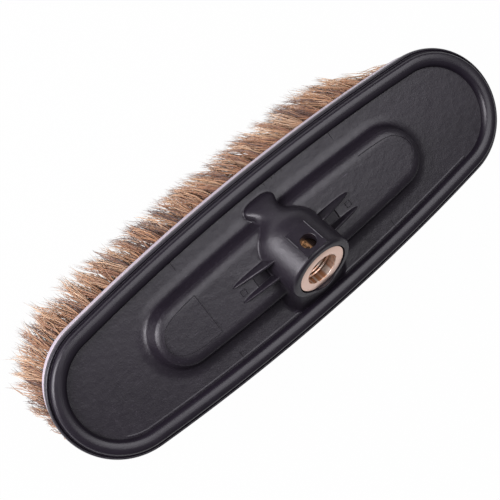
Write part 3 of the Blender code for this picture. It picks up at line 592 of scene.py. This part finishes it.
def curve_point(before, start, end, after, share):
    """A point between start and end on the smooth curve that also runs through their neighbours."""
    return 0.5 * (2 * start + (end - before) * share
                  + (2 * before - 5 * start + 4 * end - after) * share ** 2
                  + (3 * start - before - 3 * end + after) * share ** 3)


def smooth_through(points, parts, kind=Vector):
    """Points on a smooth curve through given points, with so many parts to each span."""
    line = [kind(point) for point in points]
    made = []
    for index in range(len(line) - 1):
        around = [line[min(max(index + step, 0), len(line) - 1)] for step in (-1, 0, 1, 2)]
        made += [curve_point(*around, part / parts) for part in range(parts)]
    return made + [line[-1]]


# Black rubber: a matt skin with a fine grain of half a millimetre, and duller and shinier clouds about
# a centimetre wide, where hands and water have been.
rubber, tree, shader, place = new_material("black nitrile rubber")
cloud = add_node(tree, "ShaderNodeTexNoise", Vector=place, Scale=90.0, Detail=5.0, Roughness=0.65)
tint = add_node(tree, "ShaderNodeMix", COLOURS, Factor=out(cloud, "Fac"), A=tone("141018"), B=tone("201a24"))
gloss = add_node(tree, "ShaderNodeMapRange", Value=out(cloud, "Fac"), To_Min=0.30, To_Max=0.42)
grain = add_node(tree, "ShaderNodeTexNoise", Vector=place, Scale=1900.0, Detail=3.0)
bump = add_node(tree, "ShaderNodeBump", Strength=0.25, Distance=0.00008, Height=out(grain, "Fac"))
feed(shader, Base_Color=out(tint), Roughness=out(gloss), IOR=1.52, Normal=out(bump))

top = [(BUMPER_WIDTH * a, SEAM_Z + BEAD_RISE * u) for a, u in TOP_SHARES] + [(BUMPER_WIDTH, FLOOR_Z + GAP)]
skirt = [(BUMPER_WIDTH * SKIRT_FOOT_SHARE, BASE_Z)]
skirt += [(BUMPER_WIDTH * a, SEAM_Z - BUMPER_SKIRT * d) for a, d in SKIRT_SHARES] + [top[0]]
slot_floor, leg = FLANGE_INSET - GAP, PLATE_INSET - GAP
profile = [tuple(point) for point in smooth_through(top, 5)]
profile += [(slot_floor, FLOOR_Z + GAP), (slot_floor, FLANGE_Z - GAP), (leg, FLANGE_Z - GAP), (leg, BASE_Z)]
profile += [tuple(point) for point in smooth_through(skirt, 4)][:-1]
base = oval_stations(*OVAL, RIM_SIDE_PARTS, RIM_END_PARTS)
rings = [oval_ring(base, inset, height) for inset, height in profile]
bumper = add_loft("rubber_bumper_ring", rings, True, rubber)
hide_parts("rubber_bumper")
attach(bumper, "root")

# The cover: one moulding of black plastic. A flat plate carries a raised platform, which is
# the water chamber, and on it the slanted neck with its waist, flared tail, foot and webs. Fine raised
# lines, left by the mould's inserts, run round two panels and across the plate.
PLATFORM = (0.1930, 0.0524, 0.0242)
PLATFORM_PARTS, CHAMBER_PARTS = (80, 60), (40, 30)
PLATFORM_OFFSET, PLATFORM_HEIGHT, FLANK_WIDTH = 0.0005, 0.0118, 0.0132
PLATFORM_Z = FLOOR_Z + PLATFORM_HEIGHT
# The platform's flank, as shares of its width and height.
FLANK_SHARES = (
    (-0.03, -0.012), (0.0, 0.0), (0.076, 0.005), (0.144, 0.016), (0.212, 0.031), (0.28, 0.053),
    (0.341, 0.079), (0.394, 0.117), (0.432, 0.165), (0.606, 0.805), (0.64, 0.86), (0.682, 0.90),
    (0.742, 0.937), (0.81, 0.964), (0.879, 0.983), (0.94, 0.995), (1.0, 1.0),
)
SLANT = radians(40.0)
INWARD = Vector((0, cos(SLANT), -sin(SLANT)))
ACROSS = Vector((0, sin(SLANT), cos(SLANT)))
MOUTH = Vector((0, -0.0160, 0.0980))
NECK_RADIUS, LIP_ROUND, BARREL_LENGTH, NECK_SIDES = 0.0192, 0.0018, 0.0180, 96
NECK_END_Y, NECK_END_RISE = 0.0296, 0.0023
# Behind the barrel: shares of the run to the rear, of the drop and of the neck's radius at its sides,
# the slant in degrees, and the share of the radius at the crest.
NECK_TAIL_SHARES = (
    (0.0, 0.0, 1.0, 40.0, 1.0),
    (0.148, 0.31, 0.99, 35.0, 1.004), (0.296, 0.51, 0.925, 29.0, 0.938),
    (0.412, 0.60, 0.795, 24.0, 0.828), (0.505, 0.65, 0.645, 20.0, 0.711),
    (0.583, 0.69, 0.52, 17.0, 0.595), (0.645, 0.73, 0.445, 15.5, 0.501),
    (0.701, 0.775, 0.415, 16.0, 0.417), (0.758, 0.82, 0.425, 16.5, 0.34),
    (0.812, 0.862, 0.468, 16.0, 0.271), (0.864, 0.90, 0.50, 14.0, 0.211),
    (0.914, 0.955, 0.494, 11.0, 0.165), (0.959, 0.98, 0.43, 8.0, 0.103),
    (0.989, 1.0, 0.27, 5.0, 0.043), (1.0, 1.0, 0.10, 5.0, 0.026),
)
FOOT_LEVELS = ((0.0214, -0.0186, FLANGE_Z), (0.0214, -0.0186, FLOOR_Z), (0.0170, -0.0100, FLOOR_Z + 0.0150))
WEB_REACH, WEB_THICKNESS, WEB_TOE, WEB_ROUND, WEB_SINK = 0.0395, 0.0028, 0.0009, 0.0009, 0.0004
WEB_MIDDLES, WEB_HEIGHTS = (-0.0061, 0.0033), (0.0060, 0.0098)
WEB_PLAN_SHARES = ((0.0, 1.0), (0.5, 1.0), (0.78, 0.9), (0.9, 0.72), (0.97, 0.46), (1.0, 0.2))
WEB_FILLET_SHARES = ((-0.3, 0.9), (0.0, 0.3), (0.8, 0.0))
ROUND_OF_HALF_SHARE, ROUND_OF_RISE_SHARE = 0.62, 0.7
INSERT_RADIUS, INSERT_RECESS, INSERT_LENGTH = 0.0146, 0.0004, 0.0200
KEY_DEPTH, KEY_WIDTH, KEY_SLOPE, KEY_PLACE_SHARE = 0.0010, 0.0040, 0.0006, 0.78
SEAT_FLARE, SEAT_FLARE_END, SEAT_FLARE_FOOT = 0.0003, 0.0017, 0.0020
CHANNEL_RADIUS, CHANNEL_LENGTH = 0.0062, 0.0140
PAD_HALF, PAD_RISE, PAD_SPAN = 0.0065, 0.0003, (-0.0182, -0.0012)
PAD_LINES, PAD_LINE_RISE = ((-0.0062, -0.0165, -0.0085), (0.0062, -0.0182, -0.0040)), 0.00055
PAD_LINE_SECTION = ((-0.0003, -0.0006), (-0.0003, -0.0002), (-0.0001, 0), (0.0001, 0), (0.0003, -0.0002),
                    (0.0003, -0.0006))
PARTING_SECTION = ((-0.0005, -0.0003), (0.0, -0.0002), (0.0002, -0.00005), (0.0002, 0.00005), (0.0, 0.0002),
                   (-0.0005, 0.0003))
PARTING_PARTS = slice(8, 32)
WINDOW_DISTANCE, WINDOW_SIDES = 0.0080, 48
WINDOW_PROFILE = ((0.0042, INSERT_RADIUS - OVERRUN), (0.0042, NECK_RADIUS + 0.0001),
                  (0.0046, NECK_RADIUS + 0.0005), (0.0046, NECK_RADIUS + 0.002))
CHAMBER_PROFILE = ((0.0135, BASE_Z - OVERRUN), (0.0135, PLATFORM_Z - 0.0056), (0.0145, PLATFORM_Z - 0.0036),
                   (0.0165, PLATFORM_Z - 0.0026))
POCKET_PROFILE = ((0.0198, -0.0021), (0.0282, -0.0006), (0.0288, 0.0002), (0.0288, 0.0010), (0.0198, 0.0010))
POCKET_GAP = 0.0001
VOXEL = 0.0005
RELAX_STEPS, FACES_KEPT_SHARE = 12, 0.30

levels = ((PLATE_INSET, BASE_Z), (PLATE_INSET, FLANGE_Z), (FLANGE_INSET, FLANGE_Z), (FLANGE_INSET, FLOOR_Z))
cover = add_loft("moulded_cover", [oval_ring(base, inset, height) for inset, height in levels])

plan = oval_stations(*PLATFORM, *PLATFORM_PARTS, PLATFORM_OFFSET)
rings = [oval_ring(plan, FLANK_WIDTH * FLANK_SHARES[0][0], FLANGE_Z)]
rings += [oval_ring(plan, FLANK_WIDTH * inwards, FLOOR_Z + PLATFORM_HEIGHT * up)
          for inwards, up in smooth_through(FLANK_SHARES, 4)]
platform = add_loft("platform", rings)

spine = []
for turn_degrees in range(0, 91, 15):
    angle = radians(turn_degrees)
    lip = NECK_RADIUS - LIP_ROUND * (1 - sin(angle))
    spine.append((MOUTH + INWARD * LIP_ROUND * (1 - cos(angle)), INWARD, lip, lip))
start = MOUTH + INWARD * BARREL_LENGTH
run_y, drop_z = NECK_END_Y - start.y, FLOOR_Z + NECK_END_RISE - start.z
for run, drop, side, slant, crest in smooth_through(NECK_TAIL_SHARES, 3, np.array)[:-1]:
    angle = radians(slant)
    spine.append((start + Vector((0, run_y * run, drop_z * drop)),
                  Vector((0, cos(angle), -sin(angle))), NECK_RADIUS * side, NECK_RADIUS * crest))
rings = []
for centre, travel, radius, crest in spine:
    across = Vector((0, -travel.z, travel.y))
    ring = []
    for side_step in range(NECK_SIDES):
        angle = tau * side_step / NECK_SIDES
        point = centre + across * (crest if side_step < NECK_SIDES / 2 else radius) * sin(angle)
        ring.append(Vector((radius * cos(angle), point.y, max(point.z, FLANGE_Z))))
    rings.append(ring)
neck = add_loft("neck", rings)

front_edge = -(WIDTH / 2 - BUMPER_WIDTH - GAP)
rings = []
for radius, middle, height in FOOT_LEVELS:
    ring = []
    for side_step in range(NECK_SIDES):
        angle = tau * (side_step + 0.5) / NECK_SIDES
        y = max(middle + radius * sin(angle), front_edge)
        ring.append(Vector((radius * cos(angle), y, height)))
    rings.append(ring)
foot = add_loft("foot", rings)

for tool in (platform, foot, neck):
    cut(cover, tool, "UNION")
# One skin over the joined forms, relaxed, so that they run into each other with the mould's radii.
remesh = cover.modifiers.new("skin", "REMESH")
remesh.mode, remesh.voxel_size = "VOXEL", VOXEL
bake(cover)
relax = cover.modifiers.new("relax", "SMOOTH")
relax.factor, relax.iterations = 0.5, RELAX_STEPS
thin = cover.modifiers.new("thin", "DECIMATE")
thin.decimate_type, thin.ratio = "COLLAPSE", FACES_KEPT_SHARE
bake(cover)

for middle, height in zip(WEB_MIDDLES, WEB_HEIGHTS):
    for side_sign in (-1, 1):
        rings = []
        for share_x, share_w in smooth_through(WEB_PLAN_SHARES, 5):
            x = side_sign * (NECK_RADIUS / 2 + (WEB_REACH - NECK_RADIUS / 2) * share_x)
            rise = WEB_TOE + height * share_of_span(abs(x), WEB_REACH, NECK_RADIUS)
            half = WEB_THICKNESS / 2 * share_w
            bend = min(WEB_ROUND, half * ROUND_OF_HALF_SHARE, rise * ROUND_OF_RISE_SHARE)
            section = [(-half, -WEB_SINK)]
            for turn_degrees in range(180, -1, -20):
                angle = radians(turn_degrees)
                section.append((bend - half + bend * cos(angle), rise - bend + bend * sin(angle)))
            section += [(half + bend * a, bend * u) for a, u in WEB_FILLET_SHARES]
            section.append((section[-1][0], -WEB_SINK))
            rings.append([Vector((x, middle + y, PLATFORM_Z + z)) for y, z in section])
        cut(cover, add_loft("web", rings), "UNION")


def on_neck(body, axes=(ACROSS, -INWARD), distance=0.0):
    """Moves a body's mesh onto the neck: its +Y and +Z along two axes, at a distance inside the mouth."""
    frame_matrix = Matrix((Vector((1, 0, 0)), *axes)).transposed().to_4x4()
    frame_matrix.translation = MOUTH + INWARD * distance
    body.data.transform(frame_matrix)
    return body


def key_profile(clearance):
    """The keying groove round the insert's side, front to back."""
    middle, half = -INSERT_RECESS - INSERT_LENGTH * KEY_PLACE_SHARE, KEY_WIDTH / 2
    line = [(INSERT_RADIUS, middle + half), (INSERT_RADIUS - KEY_DEPTH, middle + half - KEY_SLOPE),
            (INSERT_RADIUS - KEY_DEPTH, middle - half + KEY_SLOPE), (INSERT_RADIUS, middle - half)]
    return [(radius + clearance, height + clearance * sign)
            for (radius, height), sign in zip(line, (-1, -1, 1, 1))]


low, high = INSERT_RADIUS, NECK_RADIUS + PAD_RISE
pad = [[Vector((-PAD_HALF, low, z)), Vector((PAD_HALF, low, z)), Vector((PAD_HALF, high, z)),
        Vector((-PAD_HALF, high, z))] for z in PAD_SPAN]
cut(cover, on_neck(add_loft("pad", pad)), "UNION")
for x, *ends in PAD_LINES:
    crest = NECK_RADIUS + PAD_LINE_RISE
    rings = [[Vector((x + side, crest + up, z)) for side, up in PAD_LINE_SECTION] for z in ends]
    cut(cover, on_neck(add_loft("pad_line", rings)), "UNION")
for side_sign in (-1, 1):
    rings = []
    for centre, travel, radius, crest in spine[PARTING_PARTS]:
        across = Vector((0, -travel.z, travel.y))
        rings.append([centre + Vector((side_sign * (radius + proud), 0, 0)) + across * aside
                      for proud, aside in PARTING_SECTION])
    cut(cover, add_loft("parting_line", rings), "UNION")
back, seat_radius = -INSERT_RECESS - INSERT_LENGTH - GAP, INSERT_RADIUS + GAP
seat = [(seat_radius + SEAT_FLARE, OVERRUN), (seat_radius + SEAT_FLARE, -SEAT_FLARE_END),
        (seat_radius, -SEAT_FLARE_FOOT)]
seat += key_profile(GAP)
seat += [(seat_radius, back), (CHANNEL_RADIUS, back), (CHANNEL_RADIUS, back - CHANNEL_LENGTH)]
cut(cover, on_neck(add_loft("seat", turned(seat, NECK_SIDES))))
window = add_loft("window", turned(WINDOW_PROFILE, WINDOW_SIDES))
cut(cover, on_neck(window, (INWARD, ACROSS), WINDOW_DISTANCE))
inner = oval_stations(*PLATFORM, *CHAMBER_PARTS, PLATFORM_OFFSET)
cut(cover, add_loft("chamber", [oval_ring(inner, inset, height) for inset, height in CHAMBER_PROFILE]))
web_side = WEB_THICKNESS / 2 + POCKET_GAP
for side_sign in (-1, 1):
    rings = [[Vector((side_sign * x, y, PLATFORM_Z + z)) for x, z in POCKET_PROFILE]
             for y in (WEB_MIDDLES[0] + web_side, WEB_MIDDLES[1] - web_side)]
    cut(cover, add_loft("pocket", rings))

# Moulded black plastic: a fine spark-eroded grain of half a millimetre, faint flow marks 6 to 10 mm
# wide, shallow dents of 4 mm that shine a little more, and pale wear: specks of a millimetre and
# scratches of about 9 by 1 mm.
plastic, tree, shader, place = new_material("black moulded polypropylene")
cloud = add_node(tree, "ShaderNodeTexNoise", Vector=place, Scale=38.0, Detail=6.0, Roughness=0.62)
tint = add_node(tree, "ShaderNodeMix", COLOURS, Factor=out(cloud, "Fac"), A=tone("151118"), B=tone("252028"))
specks = add_node(tree, "ShaderNodeTexNoise", Vector=place, Scale=800.0, Detail=4.0, Roughness=0.75)
long_way = add_node(tree, "ShaderNodeMapping", Vector=place, Rotation=(0, 0, 0.5),
                    Scale=(110.0, 1100.0, 400.0))
scratches = add_node(tree, "ShaderNodeTexNoise", Vector=out(long_way), Scale=1.0, Detail=1.0)
speckled = add_node(tree, "ShaderNodeMapRange", Value=out(specks, "Fac"), From_Min=0.58, From_Max=0.90)
scratched = add_node(tree, "ShaderNodeMapRange", Value=out(scratches, "Fac"), From_Min=0.77, From_Max=0.86)
worn = add_node(tree, "ShaderNodeMath", {"operation": "MAXIMUM"}, Value0=out(speckled), Value1=out(scratched))
scuffed = add_node(tree, "ShaderNodeMix", COLOURS, Factor=out(worn), A=out(tint), B=tone("4c4650"))
rub = add_node(tree, "ShaderNodeTexNoise", Vector=place, Scale=260.0, Detail=4.0, Roughness=0.7)
gloss = add_node(tree, "ShaderNodeMapRange", Value=out(rub, "Fac"), From_Min=0.35, From_Max=0.7,
                 To_Min=0.42, To_Max=0.33)
grain = add_node(tree, "ShaderNodeTexNoise", Vector=place, Scale=2200.0, Detail=2.0)
stretched = add_node(tree, "ShaderNodeMapping", Vector=place, Scale=(26.0, 44.0, 30.0))
flow = add_node(tree, "ShaderNodeTexNoise", Vector=out(stretched), Scale=4.0, Detail=4.0)
fine = add_node(tree, "ShaderNodeBump", Strength=0.20, Distance=0.00005, Height=out(grain, "Fac"))
wide = add_node(tree, "ShaderNodeBump", Strength=0.30, Distance=0.00035, Height=out(flow, "Fac"),
                Normal=out(fine))
dented = add_node(tree, "ShaderNodeBump", Strength=0.50, Distance=0.00030, Height=out(rub, "Fac"),
                  Normal=out(wide))
feed(shader, Base_Color=out(scuffed), Roughness=out(gloss), IOR=1.5, Normal=out(dented))
dress(cover, plastic, 40)
even = cover.modifiers.new("even", "WEIGHTED_NORMAL")
even.keep_sharp, even.weight = True, 80
bake(cover)
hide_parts("top_cover")
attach(cover, "root")

# The mould's lines on the cover: their sizes in metres, then their paths in millimetres.
RIB_WIDTH, RIB_HEIGHT, RIB_SINK = 0.00038, 0.00034, 0.0005
EDGE_LINE_WIDTH, EDGE_LINE_RISE, EDGE_LINE_INSET_SHARE, EDGE_LINE_OVERRUN = 0.0014, 0.00013, 0.6, 12
LEFT_BOW = ((-57.4, 13.4), (-64.5, 12.9), (-73.5, 11.6), (-79.8, 9.2), (-83.3, 5.4), (-84.6, 1.0),
            (-83.4, -3.3), (-79.4, -7.2), (-72.2, -9.3), (-64.5, -10.0), (-57.4, -10.2))
RIGHT_BOW = ((56.6, 14.1), (66.5, 13.4), (76.5, 11.9), (81.5, 8.7), (84.3, 4.6), (84.7, 0.0), (82.7, -4.6),
             (78.1, -7.3))
LEFT_CHORD = [(-57.4, y) for y in (-10.2, -4, 2, 8, 13.4)]
CROSS_LINES = [[(x, side * y) for y in (27.2, 30, 33)] for x in (-55, 55) for side in (-1, 1)]
REAR_MARKS = ((6.2, 33.2, 0.9), (9.4, 33.0, 1.3), (14.8, 33.1, 1.0), (17.3, 33.2, 0.7), (21.6, 33.0, 1.2))
FRAME_PLACES, FRAME_HALF, FRAME_LIFT = ((-36.5, -2.0), (36.5, -2.0)), 1.5, 0.00015


def level_path(pairs):
    """A level path through places in millimetres."""
    return [Vector((x / 1000, y / 1000, 0)) for x, y in pairs]


def rib_stack(path, height, width=RIB_WIDTH, rise=RIB_HEIGHT):
    """A thin raised line along a level path."""
    rings = []
    for index, point in enumerate(path):
        before, after = path[max(index - 1, 0)], path[min(index + 1, len(path) - 1)]
        way = (after - before).normalized()
        sideways = Vector((-way.y, way.x, 0)) * width / 2
        rings.append([Vector((*(point + sideways * aside).xy, height + up)) for aside, up in
                      ((-1.3, -RIB_SINK), (-1, 0), (-0.4, rise), (0.4, rise), (1, 0), (1.3, -RIB_SINK))])
    return rings


stacks = [rib_stack(level_path(smooth_through(bow, 6)), PLATFORM_Z) for bow in (LEFT_BOW, RIGHT_BOW)]
stacks.append(rib_stack(level_path(LEFT_CHORD), PLATFORM_Z))
stacks += [rib_stack(level_path(line), FLOOR_Z) for line in CROSS_LINES]
edge = oval_ring(base, BUMPER_WIDTH + EDGE_LINE_WIDTH * EDGE_LINE_INSET_SHARE, 0)
front_parts = slice(2 * RIM_END_PARTS + RIM_SIDE_PARTS - EDGE_LINE_OVERRUN,
                    2 * (RIM_END_PARTS + RIM_SIDE_PARTS))
stacks.append(rib_stack(edge[front_parts], FLOOR_Z, EDGE_LINE_WIDTH, EDGE_LINE_RISE))
stacks += [rib_stack(level_path(((x, y - long), (x + 0.3, y))), FLOOR_Z) for x, y, long in REAR_MARKS]
for x, y in FRAME_PLACES:
    corners = [(x + side * FRAME_HALF, y + up * FRAME_HALF)
               for side, up in ((-1, -1), (1, -1), (1, 1), (-1, 1))]
    for index, corner in enumerate(corners):
        stacks.append(rib_stack(level_path((corner, corners[(index + 1) % 4])), PLATFORM_Z + FRAME_LIFT))
lines = add_stacks("cover_mould_lines", stacks, plastic, 30)
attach(lines, "root")

# The insert: a turned bush of copper-coloured brass, moulded into the neck and keyed by a groove
# round its side. Its bore has a half-inch pipe thread, its face shows the turning tool's fine rings.
THREAD_PITCH, THREAD_MINOR, THREAD_MAJOR, PLAIN_LEAD = 0.001814, 0.0093, 0.0097, 0.0042
THREAD_FLAT_SHARE, THREAD_RUN_IN, BORE_BURR = 0.08, 0.002, 0.0001
FACE_EDGE, BACK_EDGE = ((0.0005, 0), (0.0002, 0.0001), (0, 0.0005)), 0.0004
STEPS_IN_PITCH, THREAD_SIDES = 8, 96
front, back = -INSERT_RECESS, -INSERT_RECESS - INSERT_LENGTH
outside = [(INSERT_RADIUS - aside, front - down) for aside, down in FACE_EDGE] + key_profile(0.0)
outside += [(INSERT_RADIUS, back + BACK_EDGE), (INSERT_RADIUS - BACK_EDGE, back)]
bore_steps = int(INSERT_LENGTH / THREAD_PITCH * STEPS_IN_PITCH)
rings = turned(outside, THREAD_SIDES)
for step in range(bore_steps + 1):
    height = back + INSERT_LENGTH * step / bore_steps
    depth = (THREAD_MAJOR - THREAD_MINOR) * share_of_span(height, back, back + THREAD_RUN_IN)
    ring = []
    for side_step in range(THREAD_SIDES):
        turn_share = side_step / THREAD_SIDES
        phase = ((height - back) / THREAD_PITCH + turn_share) % 1.0
        rise = share_of_span(abs(phase - 0.5) * 2, THREAD_FLAT_SHARE, 1 - THREAD_FLAT_SHARE)
        radius = THREAD_MINOR + depth * (0.5 - 0.5 * cos(pi * rise))
        if front - height < PLAIN_LEAD:
            radius = THREAD_MINOR + BORE_BURR * (front - height < BORE_BURR)
        ring.append(polar(radius, tau * turn_share, height))
    rings.append(ring)

# Copper-coloured brass, bright and a little pink, with concentric tool marks every 0.7 mm. Painted
# reflections run along the bore as dark and pale streaks 3 mm wide; painted shade darkens the side seen in
# the window.
brass, tree, shader, place = new_material("turned copper brass")
moved_place = add_node(tree, "ShaderNodeMapping", {"vector_type": "TEXTURE"}, Vector=place,
                       Location=tuple(MOUTH), Rotation=(pi / 2 - SLANT, 0, 0))
apart = add_node(tree, "ShaderNodeSeparateXYZ", Vector=out(moved_place))
level = out(add_node(tree, "ShaderNodeCombineXYZ", X=out(apart, "X"), Y=out(apart, "Y")))
distance = out(add_node(tree, "ShaderNodeVectorMath", {"operation": "LENGTH"}, Vector=level), "Value")
circles = add_node(tree, "ShaderNodeMath", {"operation": "MULTIPLY"}, Value0=distance, Value1=9000.0)
circles = add_node(tree, "ShaderNodeMath", {"operation": "SINE"}, Value0=out(circles))
stain_and_shade_cloud = add_node(tree, "ShaderNodeTexNoise", Vector=place, Scale=210.0, Detail=5.0, Roughness=0.6)
tint = add_node(tree, "ShaderNodeMix", COLOURS, Factor=out(stain_and_shade_cloud, "Fac"), A=tone("f6d0ba"), B=tone("fcdfd0"))
in_bore = out(add_node(tree, "ShaderNodeMapRange", Value=distance, From_Min=THREAD_MAJOR + 0.0002,
                       From_Max=THREAD_MINOR))
# Painted reflections in the bore: pale and dark streaks 3 mm wide along it, in place of mirrored
# surroundings.
bore_reflection_noise = add_node(tree, "ShaderNodeTexNoise", Vector=level, Scale=300.0, Detail=1.0)
painted_reflection_mask = add_node(tree, "ShaderNodeMapRange", Value=out(bore_reflection_noise, "Fac"), From_Min=0.42, From_Max=0.58)
painted_reflection_tint = add_node(tree, "ShaderNodeMix", COLOURS, Factor=out(painted_reflection_mask), A=tone("cc9670"), B=tone("fff2e4"))
tint_and_bore_reflections = add_node(tree, "ShaderNodeMix", COLOURS, Factor=in_bore, A=out(tint), B=out(painted_reflection_tint))
# Painted shade on the side seen in the window: near black in blotches and more so towards +X, gold between.
at_side = add_node(tree, "ShaderNodeMapRange", Value=distance, From_Min=INSERT_RADIUS - 0.0002,
                   From_Max=INSERT_RADIUS)
painted_window_shade = add_node(tree, "ShaderNodeMapRange", Value=out(stain_and_shade_cloud, "Fac"), From_Min=0.48, From_Max=0.62)
painted_shade_side = add_node(tree, "ShaderNodeMapRange", Value=out(apart, "X"), From_Min=-0.0008, From_Max=0.0010)
painted_window_shade = add_node(tree, "ShaderNodeMath", {"operation": "MAXIMUM"}, Value0=out(painted_window_shade), Value1=out(painted_shade_side))
window_shade_tint = add_node(tree, "ShaderNodeMix", COLOURS, Factor=out(painted_window_shade), A=tone("f2b880"), B=tone("1c1210"))
tint_with_painted_light = add_node(tree, "ShaderNodeMix", COLOURS, Factor=out(at_side), A=out(tint_and_bore_reflections), B=out(window_shade_tint))
gloss = add_node(tree, "ShaderNodeMapRange", Value=out(stain_and_shade_cloud, "Fac"), To_Min=0.26, To_Max=0.36)
for place_share, dulling in ((out(at_side), 0.20), (in_bore, 0.16)):
    gloss = add_node(tree, "ShaderNodeMath", {"operation": "MULTIPLY_ADD"}, Value0=place_share,
                     Value1=dulling, Value2=out(gloss))
bump = add_node(tree, "ShaderNodeBump", Strength=0.06, Distance=0.00002, Height=out(circles))
feed(shader, Base_Color=out(tint_with_painted_light), Metallic=1.0, Roughness=out(gloss), Normal=out(bump))
insert = on_neck(add_loft("brass_insert", rings, True, brass, 32))
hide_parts("threaded_insert")
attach(insert, "root")

# The hidden small parts: a rubber washer at the bottom of the bore, a rubber cord round the chamber
# and four stainless screws. They keep their CAD shapes and get their real finish.
seal_rubber, tree, shader, place = new_material("black sealing rubber")
cloud = add_node(tree, "ShaderNodeTexNoise", Vector=place, Scale=400.0, Detail=3.0)
tint = add_node(tree, "ShaderNodeMix", COLOURS, Factor=out(cloud, "Fac"), A=tone("1d1c1e"), B=tone("2b2a2c"))
feed(shader, Base_Color=out(tint), Roughness=0.62)
steel, tree, shader, place = new_material("stainless screw steel")
cloud = add_node(tree, "ShaderNodeTexNoise", Vector=place, Scale=700.0, Detail=4.0)
tint = add_node(tree, "ShaderNodeMix", COLOURS, Factor=out(cloud, "Fac"), A=tone("b4b4b6"), B=tone("cfcfd1"))
gloss = add_node(tree, "ShaderNodeMapRange", Value=out(cloud, "Fac"), To_Min=0.24, To_Max=0.40)
feed(shader, Base_Color=out(tint), Metallic=1.0, Roughness=out(gloss))
finishes = [("insert_seal", seal_rubber), ("chamber_gasket", seal_rubber)]
for name, finish in finishes + [(f"board_screw_{number}", steel) for number in range(1, 5)]:
    for place in frame["nodes"][name].material_slots:
        place.material = finish

low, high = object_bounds()
